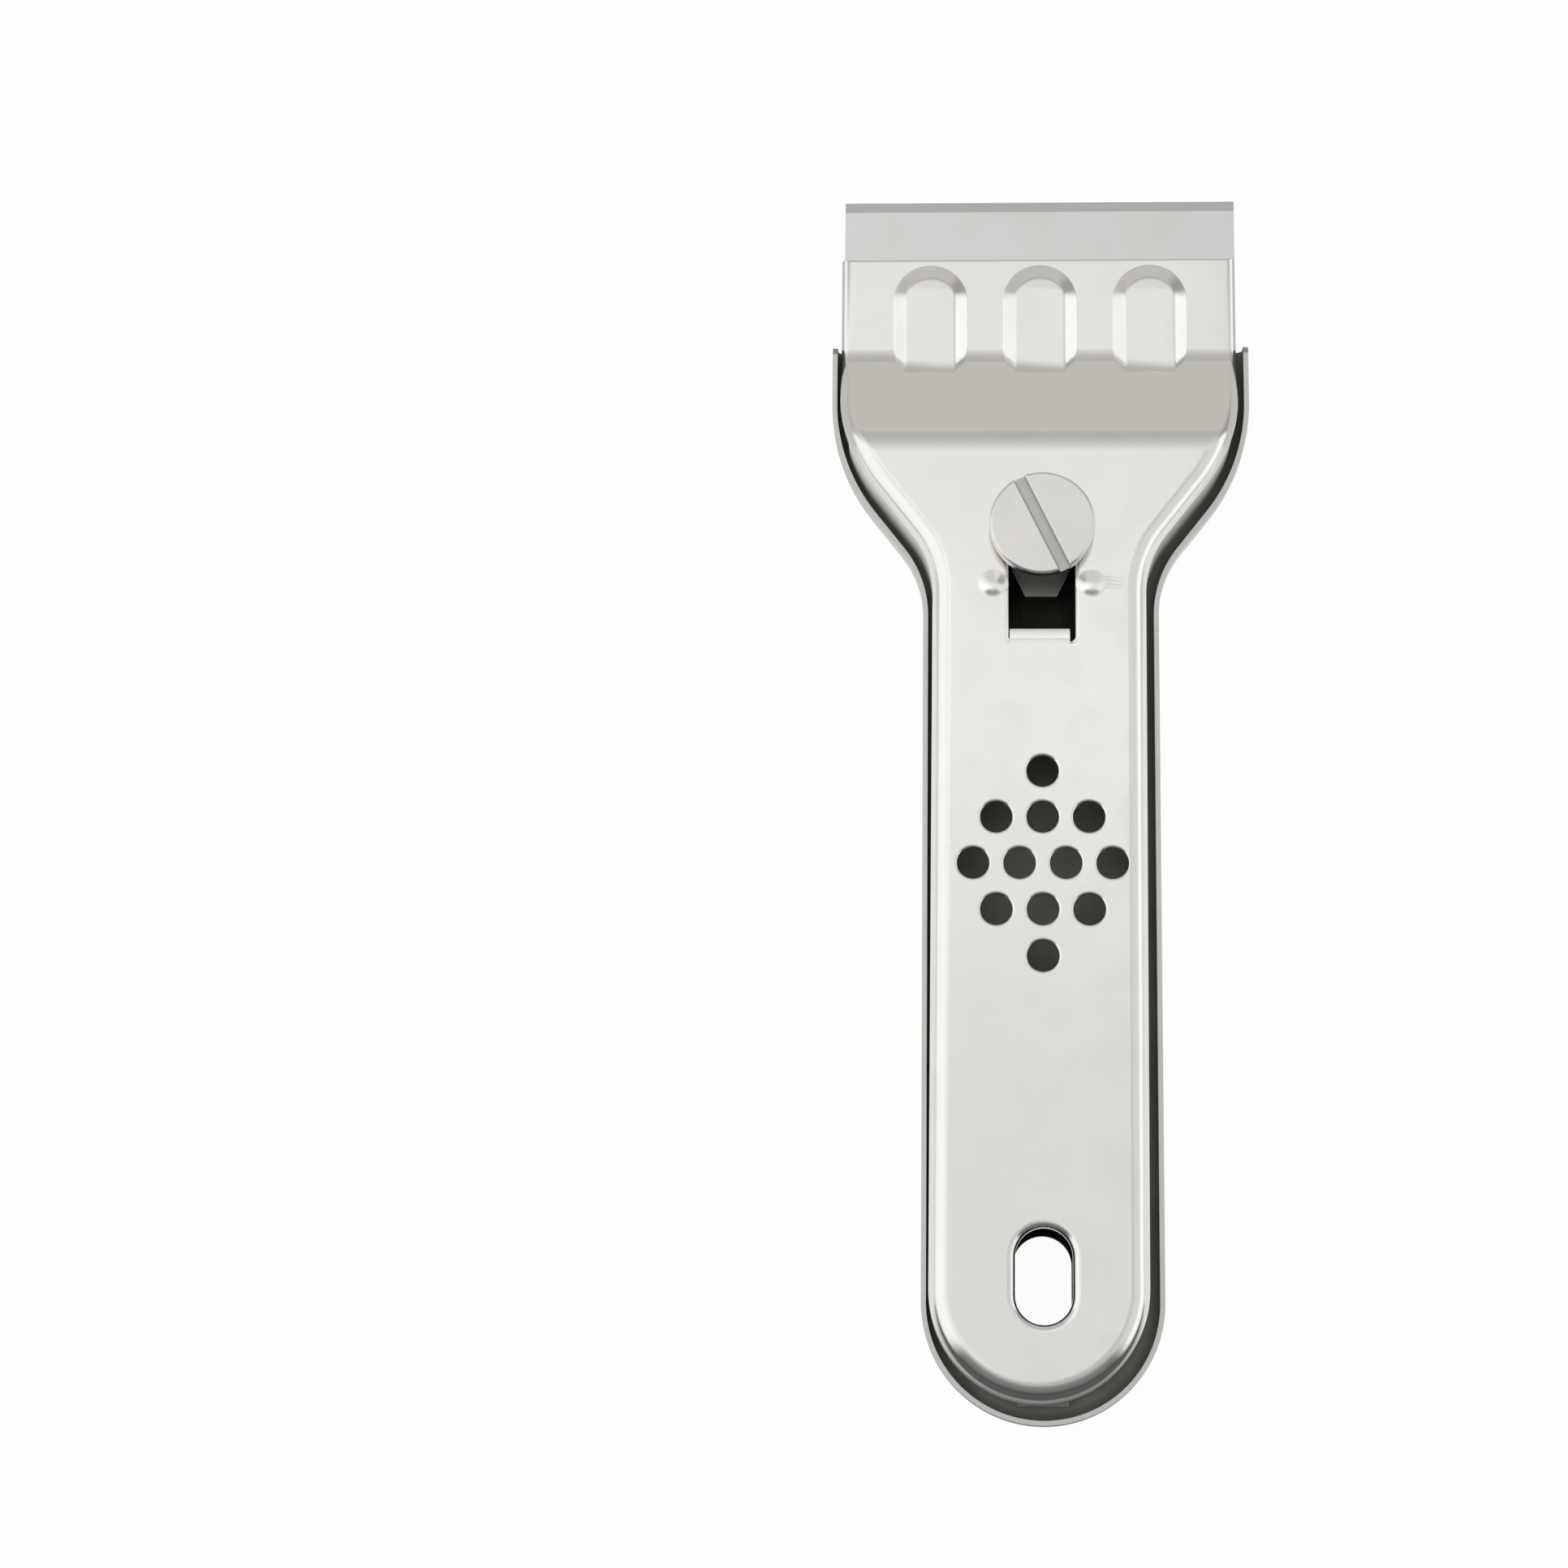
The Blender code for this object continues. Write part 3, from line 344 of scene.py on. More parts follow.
def steel(name, colour, roughness, grain=(1.0, 0.05, 1.0), grain_size=0.09 * MM,
          grain_depth=0.0006 * MM, wave_depth=0.002 * MM, scratch=0.04, smudge=0.02, rings_about=None,
          tarnish=(0.975, 0.975, 0.97), metallic=1.0):
    """Grain lists how fine the grain is along X, Y and Z. Rings_about makes it turned rings."""
    finish = bpy.data.materials.new(name)
    finish.use_nodes = True
    tree = finish.node_tree
    shader = tree.nodes["Principled BSDF"]
    place = node(tree, "ShaderNodeTexCoord").outputs["Object"]
    line = place
    if rings_about:
        spoke = moved(tree, "MULTIPLY", moved(tree, "SUBTRACT", place, rings_about), (1, 1, 0))
        radius = node(tree, "ShaderNodeVectorMath", {0: spoke}, operation="LENGTH").outputs["Value"]
        line = node(tree, "ShaderNodeCombineXYZ", {"X": radius}).outputs[0]
    fine = noise(tree, moved(tree, "MULTIPLY", line, [share / grain_size for share in grain]), 1.0, 3.0)
    slow = noise(tree, place, 1 / wave_size, 1.0)
    dull = between(tree, noise(tree, place, 1 / smudge_size, 4.0), *smudge_starts)
    lines = scratches(tree, place)
    tone = mixed(tree, dull, (*colour, 1), tuple(c * t for c, t in zip(colour, tarnish)) + (1,))
    bright = tuple(min(1, c * grain_brightness) for c in colour) + (1,)
    tone = mixed(tree, between(tree, fine, *grain_starts, 0.0, grain_strength), tone, bright)
    rough = maths(tree, "MULTIPLY_ADD", dull, smudge, roughness)
    rough = maths(tree, "MULTIPLY_ADD", fine, grain_roughness, rough)
    rough = maths(tree, "MULTIPLY_ADD", lines, scratch, rough)
    height = maths(tree, "MULTIPLY", fine, grain_depth)
    height = maths(tree, "MULTIPLY_ADD", slow, wave_depth, height)
    height = maths(tree, "MULTIPLY_ADD", lines, -grain_depth / 4, height)
    round_edge = node(tree, "ShaderNodeBevel", {"Radius": edge_softness}, samples=4).outputs[0]
    relief = {"Height": height, "Distance": 1.0, "Strength": 1.0, "Normal": round_edge}
    tree.links.new(node(tree, "ShaderNodeBump", relief).outputs[0], shader.inputs["Normal"])
    tree.links.new(tone, shader.inputs["Base Color"])
    tree.links.new(rough, shader.inputs["Roughness"])
    shader.inputs["Metallic"].default_value = metallic
    return finish


print("scratches run", len(scratch_families), "ways")

# %% [markdown]
# The cover is polished and the tray is duller. The cover's side wall and the drawn edge of the window
# are stretched metal, which is grainy and reflects softly. The drawn edge and the pips are also given
# a lighter tone than the cover, which is painted light. Inside, the sheets were never polished, and
# their dark tone is painted shade. The tray round the nut's channel and the hang hole is painted
# near-black as shade.

# %% Steels of the sheets, the blade and the carrier
cover_steel = steel("cover_steel", (0.81, 0.80, 0.78), 0.11)
tray_steel = steel("tray_steel", (0.58, 0.575, 0.56), 0.24)
wall_steel = steel("wall_steel", (0.80, 0.79, 0.77), 0.3, metallic=0.6)
# The pips' lighter, partly matte copy of the cover's steel is painted light
pip_painted_light_steel = steel("pip_painted_light_steel", (0.93, 0.92, 0.9), 0.24, metallic=0.85)
# The drawn edge's near-white, mostly matte tone is painted light; its softer grain is real
drawn_painted_light_steel = steel("drawn_painted_light_steel", (0.97, 0.965, 0.955), 0.4, metallic=0.2)
# The inside's dark tone is painted shade
inside_painted_shade_steel = steel("inside_painted_shade_steel", (0.25, 0.245, 0.23), 0.5, tarnish=(0.85, 0.85, 0.8), metallic=0.3)
# Near-black painted shade round the nut's channel and the hang hole
painted_shade_black_steel = steel("painted_shade_black_steel", (0.02, 0.02, 0.016), 0.45, tarnish=(0.6, 0.6, 0.5))
blade_steel = steel("blade_steel", (0.69, 0.692, 0.694), 0.18, grain=(0.05, 1.0, 1.0))
carrier_steel = steel("carrier_steel", (0.50, 0.50, 0.49), 0.34)
print("steels:", [m.name for m in bpy.data.materials if "steel" in m.name])

# %% [markdown]
# ## Outlines
# Cover and tray share one plan: a wide head, an arc on each shoulder, an arc back into the waist and
# a round tail. The arcs meet a straight flank, so the outline at any inset is exact, and a ring of
# points at each inset gives rounded edges without a bevel. The cover's plan sits a sixth of a
# millimetre to the left and a little askew, so the dark gap beside it is wide only on the right.

# %% Outline helpers
shoulder_turn = radians(38.0)
shoulder_steps = 18
tail_steps = 56
grip_strips = 13
station_gap = 0.15 * MM
tail_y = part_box("bottom_tray")[0].y
tray_shape = {"head": 21.12 * MM, "grip": 11.8 * MM, "shoulder_y": 40.2 * MM, "shoulder_r": 19.3 * MM,
              "waist_r": 11.0 * MM, "tail_y": tail_y, "lean": 0, "skew": 0}
skew_front_y = 44 * MM
cover_shape = {"head": 20.1 * MM, "grip": 10.6 * MM, "shoulder_y": 40.5 * MM, "shoulder_r": 17.5 * MM,
               "waist_r": 10.0 * MM, "tail_y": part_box("top_shell")[0].y,
               "lean": -0.16 * MM, "skew": 0.003}


def waist_middle(shape):
    """The Y of the hub of the waist's arc."""
    turn = shoulder_turn
    shoulder_end = shape["head"] - shape["shoulder_r"] * (1 - cos(turn))
    waist_start = shape["grip"] + shape["waist_r"] * (1 - cos(turn))
    run = (shoulder_end - waist_start) / sin(turn)
    end_y = shape["shoulder_y"] - shape["shoulder_r"] * sin(turn)
    return end_y - run * cos(turn) - shape["waist_r"] * sin(turn)


def half_width(shape, y, inset):
    """Half the outline's width at a place along Y, with the outline offset inwards."""
    turn = shoulder_turn
    shoulder_r = shape["shoulder_r"] - inset
    waist_r = shape["waist_r"] + inset
    hub_x = shape["head"] - shape["shoulder_r"]
    waist_y = waist_middle(shape)
    shoulder_end_y = shape["shoulder_y"] - shoulder_r * sin(turn)
    if y >= shape["shoulder_y"]:
        return shape["head"] - inset
    if y >= shoulder_end_y:
        return hub_x + sqrt(shoulder_r**2 - (shape["shoulder_y"] - y) ** 2)
    if y >= waist_y + waist_r * sin(turn):
        return hub_x + shoulder_r * cos(turn) - (shoulder_end_y - y) * tan(turn)
    if y >= waist_y:
        return shape["grip"] + shape["waist_r"] - sqrt(waist_r**2 - (y - waist_y) ** 2)
    return shape["grip"] - inset


def arc(hub, radius, start, end, steps):
    swing = [start + (end - start) * step / steps for step in range(steps + 1)]
    return [(hub[0] + radius * cos(a), hub[1] + radius * sin(a)) for a in swing]


def stations(shape, front_y, lines):
    """The places along Y where the outline has a corner, from the front to the tail's hub."""
    places = [front_y, *lines]
    for step in range(shoulder_steps + 1):
        swing = sin(shoulder_turn * step / shoulder_steps)
        on_shoulder = shape["shoulder_y"] - shape["shoulder_r"] * swing
        on_waist = waist_middle(shape) + shape["waist_r"] * swing
        for y in (on_shoulder, on_waist):
            if min(abs(y - line) for line in places) > station_gap:
                places.append(y)
    grip_start = waist_middle(shape)
    grip = shape["tail_y"] + shape["grip"] - grip_start
    places += [grip_start + grip * step / grip_strips for step in range(1, grip_strips + 1)]
    return sorted(places, reverse=True)


def skewed(shape, y):
    """The sideways shift of a plan that sits a little to one side, and more so behind the head."""
    return shape["lean"] + shape["skew"] * min(0, y - skew_front_y)


def plan_outline(shape, places, inset_at):
    """The outline, offset inwards by inset_at(y)."""
    right = [(half_width(shape, y, inset_at(y)), y) for y in places]
    hub = (0, shape["tail_y"] + shape["grip"])
    tail = arc(hub, shape["grip"] - inset_at(hub[1]), 0, -pi, tail_steps)[1:-1]
    return [(x + skewed(shape, y), y) for x, y in right + tail + [(-x, y) for x, y in reversed(right)]]


print("grip starts at y", round(waist_middle(cover_shape) / MM, 1), "mm")

# %% [markdown]
# ## From rings to solids
# A pressed sheet is modelled as one solid minus a smaller one. Both are lofts: rings of points with
# side faces between them. The flat ends are filled with strips that run straight across, so every
# face of the bent surface stays flat.

# %% Loft, cut and finish
crease = radians(32)
flat_faces_lead = 100
cutters = bpy.data.collections.new("cutters")
bpy.context.scene.collection.children.link(cutters)


def loft(name, rings, rows=0):
    """Side faces between rings. With rows, the last ring is closed by strips across its first rows."""
    shape = bmesh.new()
    corners = [[shape.verts.new(point) for point in ring] for ring in rings]
    for lower, upper in zip(corners, corners[1:]):
        for index in range(len(lower)):
            after = (index + 1) % len(lower)
            shape.faces.new((lower[index], lower[after], upper[after], upper[index]))
    shape.faces.new(corners[0])
    top = corners[-1]
    for row in range(rows - 1):
        shape.faces.new((top[row], top[row + 1], top[-row - 2], top[-row - 1]))
    if rows:
        shape.faces.new(top[rows - 1:len(top) - rows + 1])
    else:
        shape.faces.new(top)
    bmesh.ops.recalc_face_normals(shape, faces=shape.faces)
    data = bpy.data.meshes.new(name)
    shape.to_mesh(data)
    shape.free()
    made = bpy.data.objects.new(name, data)
    cutters.objects.link(made)
    made.hide_render = True
    return made


def flat_rings(outline, *heights):
    """An outline in the X-Y plane, once at each height."""
    return [[(x, y, z) for x, y in outline] for z in heights]


def side_prism(name, points, left, right):
    """An outline in the Y-Z plane, from one X to another."""
    return loft(name, [[(x, y, z) for y, z in points] for x in (left, right)])


def block(name, half, rear, front, low, high):
    """A plain box, as wide to the left as to the right."""
    corners = [(half, rear), (half, front), (-half, front), (-half, rear)]
    return loft(name, flat_rings(corners, low, high))


def combine(target, operation, *others):
    """Adds or cuts the others, one after another."""
    for other in others:
        step = target.modifiers.new(other.name, "BOOLEAN")
        step.operation = operation
        step.object = other
        step.solver = "EXACT"


def finished(piece, body, nodes, finishes, pick):
    """Bakes the cuts, weights the normals by face size so that flats stay flat, and sets the finishes.
    pick(middle, facing) says which of the finishes a face has."""
    bpy.context.view_layer.update()
    data = bpy.data.meshes.new_from_object(piece.evaluated_get(bpy.context.evaluated_depsgraph_get()))
    piece.modifiers.clear()
    piece.data = data
    data.name = piece.name
    data.materials.clear()
    for finish in finishes:
        data.materials.append(finish)
    for face in data.polygons:
        face.material_index = pick(face.center, face.normal)
    data.shade_smooth()
    data.set_sharp_from_angle(angle=crease)
    cutters.objects.unlink(piece)
    bpy.context.scene.collection.objects.link(piece)
    piece.hide_render = False
    weights = piece.modifiers.new("flat_faces_lead", "WEIGHTED_NORMAL")
    weights.keep_sharp = True
    weights.weight = flat_faces_lead
    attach(piece, body)
    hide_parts(*nodes)
    print(piece.name, len(data.polygons), "faces")
    return piece


print("edges over", round(crease * 180 / pi), "degrees stay sharp")

# %% [markdown]
# ## The cover's side view
# Seen from the side, the cover is a jaw, a slope and a flat back, with a wide bend between each.
# The rings of the loft take their heights from this line, so the rounded edge follows the slope.

# %% Side view
sheet = 0.5 * MM
cover_top = 9.5 * MM
jaw_top = 3.0 * MM
jaw_front_y = 55.7 * MM
slope_low_y = 45.05 * MM
slope_high_y = 34.6 * MM
slope_low_radius = 3.6 * MM
slope_high_radius = 5.0 * MM
jaw_edge_radius = 0.9 * MM
grip_edge_radius = 1.9 * MM
far = 60.0 * MM
well_below = -10 * MM
bend_steps = 9
edge_steps = 10


def rounded(corners, radii, steps):
    """A closed outline whose corners are arcs. A radius of 0 keeps one sharp."""
    points = []
    for index, corner in enumerate(corners):
        if radii[index] == 0:
            points.append(corner)
            continue
        here = Vector(corner)
        back = (Vector(corners[index - 1]) - here).normalized()
        ahead = (Vector(corners[(index + 1) % len(corners)]) - here).normalized()
        half = back.angle(ahead) / 2
        hub = here + (back + ahead).normalized() * radii[index] / sin(half)
        first = here + back * radii[index] / tan(half) - hub
        turn = first.angle_signed(here + ahead * radii[index] / tan(half) - hub)
        for step in range(steps + 1):
            spoke = first.copy()
            spoke.rotate(Matrix.Rotation(-turn * step / steps, 2))
            points.append(tuple(hub + spoke))
    return points


def cover_profile(inset):
    """The cover's line from the side, or the same line that much further in."""
    slope = (cover_top - jaw_top) / (slope_low_y - slope_high_y)
    shift = inset * tan(asin(slope / hypot(1, slope)) / 2)
    corners = [(far, jaw_top - inset), (slope_low_y - shift, jaw_top - inset),
               (slope_high_y - shift, cover_top - inset), (-far - jaw_front_y, cover_top - inset)]
    return rounded(corners, (0, slope_low_radius + inset, slope_high_radius - inset, 0), bend_steps)


def height_at(profile, y):
    for front, rear in zip(profile, profile[1:]):
        if rear[0] <= y <= front[0]:
            return front[1] + (rear[1] - front[1]) * (front[0] - y) / (front[0] - rear[0])
    return profile[-1][1]


def edge_radius(y):
    """The cover's edge is tight round the jaw and grows wider up the slope."""
    share = min(1, max(0, (slope_low_y - y) / (slope_low_y - slope_high_y)))
    return jaw_edge_radius + (grip_edge_radius - jaw_edge_radius) * share


def cover_block(name, inset):
    profile = cover_profile(inset)
    places = stations(cover_shape, far, [y for y, z in profile[1:-1]])
    rings = flat_rings(plan_outline(cover_shape, places, lambda y: inset), well_below)
    bend = lambda y: edge_radius(y) - inset
    for step in range(edge_steps + 1):
        swing = pi / 2 * step / edge_steps
        inwards, down = 1 - cos(swing), 1 - sin(swing)
        outline = plan_outline(cover_shape, places, lambda y: inset + bend(y) * inwards)
        rings.append([(x, y, height_at(profile, y) - bend(y) * down) for x, y in outline])
    return loft(name, rings, len(places))


print("the cover rises", round((cover_top - jaw_top) / MM, 1), "mm over",
      round((slope_low_y - slope_high_y) / MM, 2), "mm")

# %% [markdown]
# ## The three raised channels
# Each channel is a pressed rib with an even flank, soft where it leaves the jaw and where it meets
# its own top. Its section is a list of shares of its rim's width and height. Behind, the rib runs out
# into the slope, so a soft maximum of the two heights makes that hollow corner, and beyond the corner
# the rib dives under the slope.

# %% Channels
channel_pitch = 11.17 * MM
channel_half = 3.7 * MM
channel_rim = 1.32 * MM
channel_front_rim = 1.75 * MM
channel_height = 0.95 * MM
channel_front_y = 54.88 * MM
channel_rear_y = 41.2 * MM
channel_rear_steps = 26
front_steps = 40
hollow = 0.45 * MM
sunk = 0.012 * MM
rim_foot = (-0.13, -0.7)
rim_shares = ((-0.13, -0.04), (-0.05, 0.012), (0.02, 0.07), (0.09, 0.14), (0.2, 0.255), (0.4, 0.465),
              (0.6, 0.675), (0.74, 0.82), (0.82, 0.9), (0.9, 0.958), (0.96, 0.988), (1.04, 1.0))


def soft_higher(first, second, blend):
    """The higher of two heights, with the step between them rounded."""
    near = max(blend - abs(first - second), 0)
    return max(first, second) + near * near / (4 * blend)


def rib_height(over_jaw, rise):
    """The rib's height over the jaw, where the slope has already risen this far."""
    if rise < sunk:
        return over_jaw
    blend = min(hollow, rise)
    return soft_higher(over_jaw, rise - sunk, blend) - max(0, rise - over_jaw - blend) / 2


def channel(name, x, inset):
    profile = cover_profile(inset)
    base = jaw_top - inset
    hub_y = channel_front_y - channel_half
    run = channel_rear_y - hub_y
    rows = [hub_y + run * step / channel_rear_steps for step in range(1, channel_rear_steps + 1)]
    # The flank slopes, so a third of the sheet sideways keeps it as thick as the rest
    narrower = inset / 3
    rings = []
    for across, up in (rim_foot, *rim_shares):
        radius = channel_half - narrower - across * channel_rim
        stretch = (channel_half - narrower - across * channel_front_rim) / radius
        quarter = arc((0, 0), radius, pi / 2, 0, front_steps // 2)
        outline = [(px, hub_y + py * stretch) for px, py in quarter]
        outline += [(radius, y) for y in rows]
        outline += [(-px, py) for px, py in reversed(outline[1:])]
        ring = []
        for px, py in outline:
            over_jaw = up * channel_height
            if up != rim_foot[1]:
                over_jaw = rib_height(over_jaw, height_at(profile, py) - base)
            ring.append((x + px, py, base + over_jaw))
        rings.append(ring)
    # The first point of each ring is at the front, so the strips start one point later on each side
    rings = [ring[1:] + ring[:1] for ring in rings]
    return loft(name, rings, len(rings[0]) // 2)


print("channels", round(channel_pitch / MM, 2), "mm apart,", round(channel_height / MM, 2), "mm high")

# %% [markdown]
# ## Punched edges
# A punch draws the sheet's edge down a little as it cuts. A cutter that flares towards the top leaves
# that round edge, and it reads as the thin bright ring round every hole. The wide flare of the hang
# hole and the screw's window is the same shape with a larger radius.

# %% Punches
round_end_steps = 24
punch_reach = 6 * MM


def oblong(half, length, middle_y, grow):
    """A slot's outline with round ends, grown by that much. Its length is half the whole."""
    straight = length - half
    return (arc((0, middle_y + straight), half + grow, 0, pi, round_end_steps)
            + arc((0, middle_y - straight), half + grow, pi, 2 * pi, round_end_steps))


def punch(name, outline_at, flare, steps):
    """outline_at(grow) is the outline grown by that much. The flare is a quarter round at the top."""
    rings = flat_rings(outline_at(0), cover_top - punch_reach)
    for step in range(steps + 1):
        swing = pi / 2 * step / steps
        rings += flat_rings(outline_at(flare * (1 - cos(swing))), cover_top - flare * (1 - sin(swing)))
    rings += flat_rings(outline_at(flare), cover_top + punch_reach)
    return loft(name, rings)


hole_radius = 1.53 * MM
hole_pitch_x = 4.53 * MM
hole_pitch_y = 4.59 * MM
hole_middle_y = -8.68 * MM
hole_row_counts = (1, 3, 4, 3, 1)
hole_flare = 0.25 * MM
hole_flare_steps = 4
hole_steps = 36


def hole_centres():
    for row, count in enumerate(hole_row_counts):
        for place in range(count):
            x = (place - (count - 1) / 2) * hole_pitch_x
            yield x, hole_middle_y + ((len(hole_row_counts) - 1) / 2 - row) * hole_pitch_y


def hole_punches():
    """All the round punches as one mesh, because one cut is safer than twelve."""
    shape = bmesh.new()
    for index, (x, y) in enumerate(hole_centres()):
        circle = lambda grow: arc((x, y), hole_radius + grow, 0, 2 * pi, hole_steps)[:-1]
        shape.from_mesh(punch(f"hole_{index}", circle, hole_flare, hole_flare_steps).data)
    data = bpy.data.meshes.new("holes")
    shape.to_mesh(data)
    shape.free()
    holes = bpy.data.objects.new("holes", data)
    cutters.objects.link(holes)
    holes.hide_render = True
    return holes


print("holes:", len(list(hole_centres())))

# %% [markdown]
# ## The screw's window
# The window is where the screw travels. Its long sides are drawn down, and at its rear the sheet is
# bent down into a lip, with a small relief cut at one corner. Two pips stand beside it.

# %% Window, lip and pips
screw_y = 25.1 * MM
slot_half = 3.3 * MM
slot_rear_y = 13.6 * MM
slot_front_y = screw_y + 0.3 * MM
slot_corner = 0.6 * MM
slot_corner_steps = 8
slot_flare = 0.35 * MM
slot_flare_steps = 6
lip_bend = 1.8 * MM
lip_steps = 12
lip_end = radians(38.0)
lip_overlap = 1.2 * MM
lip_left = -3.2 * MM
lip_right = 2.75 * MM
pip_x = 4.9 * MM
pip_y = 19.5 * MM
pip_foot = 1.6 * MM
pip_height = 0.42 * MM
pip_lean = 0.4 * MM
pip_taper = 0.94
pip_sunk = 0.03
pip_hollow_share = 0.7
pip_sides = 40
pip_steps = 12


def window_outline(grow):
    x = slot_half - slot_corner
    y = slot_rear_y + slot_corner
    return (arc((0, slot_front_y), slot_half + grow, 0, pi, round_end_steps)
            + arc((-x, y), slot_corner + grow, pi, 3 * pi / 2, slot_corner_steps)
            + arc((x, y), slot_corner + grow, 3 * pi / 2, 2 * pi, slot_corner_steps))


def lip_piece():
    """The bent lip: its section in the Y-Z plane, lofted from left to right."""
    hub = (slot_rear_y, cover_top - lip_bend)
    start = slot_rear_y - lip_overlap
    section = [(start, cover_top)] + arc(hub, lip_bend, pi / 2, lip_end, lip_steps)
    section += arc(hub, lip_bend - sheet, lip_end, pi / 2, lip_steps) + [(start, cover_top - sheet)]
    return side_prism("lip", section, lip_left, lip_right)


def pip(name, x, drop, share):
    """A dome whose rings lean back as they rise. Drop and share make the hollow below it."""
    base = cover_top - drop
    levels = [(1, 0, base - sheet)]
    for step in range(pip_steps + 1):
        up = (1 - cos(pi * step / pip_steps)) / 2 - pip_sunk
        levels.append((1 - pip_taper * step / pip_steps, up * pip_lean, base + up * pip_height))
    rings = []
    for across, back, z in levels:
        circle = arc((x, pip_y - back), pip_foot * share * across, 0, 2 * pi, pip_sides)[:-1]
        rings += flat_rings(circle, z)
    return loft(name, rings)


print("the window is", round((slot_front_y + slot_half - slot_rear_y) / MM, 2), "mm long")

# %% [markdown]
# ## The catch at the tail
# The photo doesn't show what holds the two sheets together behind. Here a lug is lanced up from the
# tray's floor, and its nib hooks through a slit in the cover's skirt. It needs one stroke of a press
# and no rivet, and the screw does the rest in front. The real scraper may have another catch.

# %% Catch
lug_half = 2.5 * MM
lug_y = cover_shape["tail_y"] + 1.55 * MM
lug_opening = 2.6 * MM
nib_low = 1.6 * MM
nib_reach = 1.7 * MM
nib_play = 0.4 * MM


def tail_lug():
    """A strip that stands up from the floor and turns back in a nib."""
    points = [(lug_y, sheet / 2), (lug_y, nib_low + sheet), (lug_y - nib_reach, nib_low + sheet),
              (lug_y - nib_reach, nib_low), (lug_y - sheet, nib_low), (lug_y - sheet, sheet / 2)]
    return side_prism("tail_lug", points, -lug_half, lug_half)


nib_out = cover_shape["tail_y"] - lug_y + nib_reach
print("the nib stands", round(nib_out / MM, 2), "mm out of the skirt")

# %% [markdown]
# ## The cover
# The cover comes together as it would in the press: blank, bends and ribs first, then the punched
# holes. The inside is the same form one sheet smaller, taken away.

# %% Press the cover
hang_y = -48.8 * MM
hang_half = 2.75 * MM
hang_length = 4.6 * MM
hang_flare = 0.75 * MM
skirt_low = 0.8 * MM
head_skirt_low = 1.4 * MM
skirt_step_y = 36.4 * MM
jaw_lip_radius = 0.3 * MM
jaw_lip_start = pi / 2 - 0.05
jaw_lip_steps = 6
hang_flare_steps = 8
collar_drop = 1.1 * MM
outer_line = cover_profile(0)
# The cover's finishes, in the order in which they're handed over
COVER_FACE, COVER_INSIDE, COVER_DRAWN, COVER_WALL, COVER_PIP = range(5)
# Faces less than a hair apart are one surface
hair = 0.01 * MM
# Limits for how a face lies: its facing's share up, and its share out of the plan
looks_down = -0.2
upright = 0.1
looks_out = 0.5
looks_in = -0.2


def outward(shape, middle, facing):
    """How far a face looks out of the plan: 1 for the outside of a wall, -1 for its inside."""
    behind_hub = min(0, middle.y - shape["tail_y"] - shape["grip"])
    spoke = Vector((middle.x - skewed(shape, middle.y), behind_hub))
    return spoke.normalized().dot(facing.xy)


def near_hang_hole(middle, margin):
    return abs(middle.x) < hang_half + margin and abs(middle.y - hang_y) < hang_length + margin


def cover_face(middle, facing):
    depth = height_at(outer_line, middle.y) - middle.z
    out = outward(cover_shape, middle, facing)
    in_window = abs(middle.x) < slot_half + slot_flare and slot_rear_y - 10 * hair < middle.y < screw_y
    if facing.z < looks_down:
        return COVER_INSIDE
    # The pips' tops take the lighter steel that paints light on them
    if middle.z > cover_top + hair:
        return COVER_PIP
    if abs(facing.z) < upright and out > looks_out and middle.y < slope_high_y:
        return COVER_WALL
    # The window's drawn edge and lip take the near-white steel that paints light on them
    if in_window and 2 * hair < depth < lip_bend and facing.z > upright / 2:
        return COVER_DRAWN
    # The hang hole's wall below its flare takes the inside steel, painted shade
    if near_hang_hole(middle, hang_flare):
        return COVER_INSIDE if depth > hang_flare + 2 * hair else COVER_FACE
    return COVER_INSIDE if depth > sheet and out < looks_in else COVER_FACE


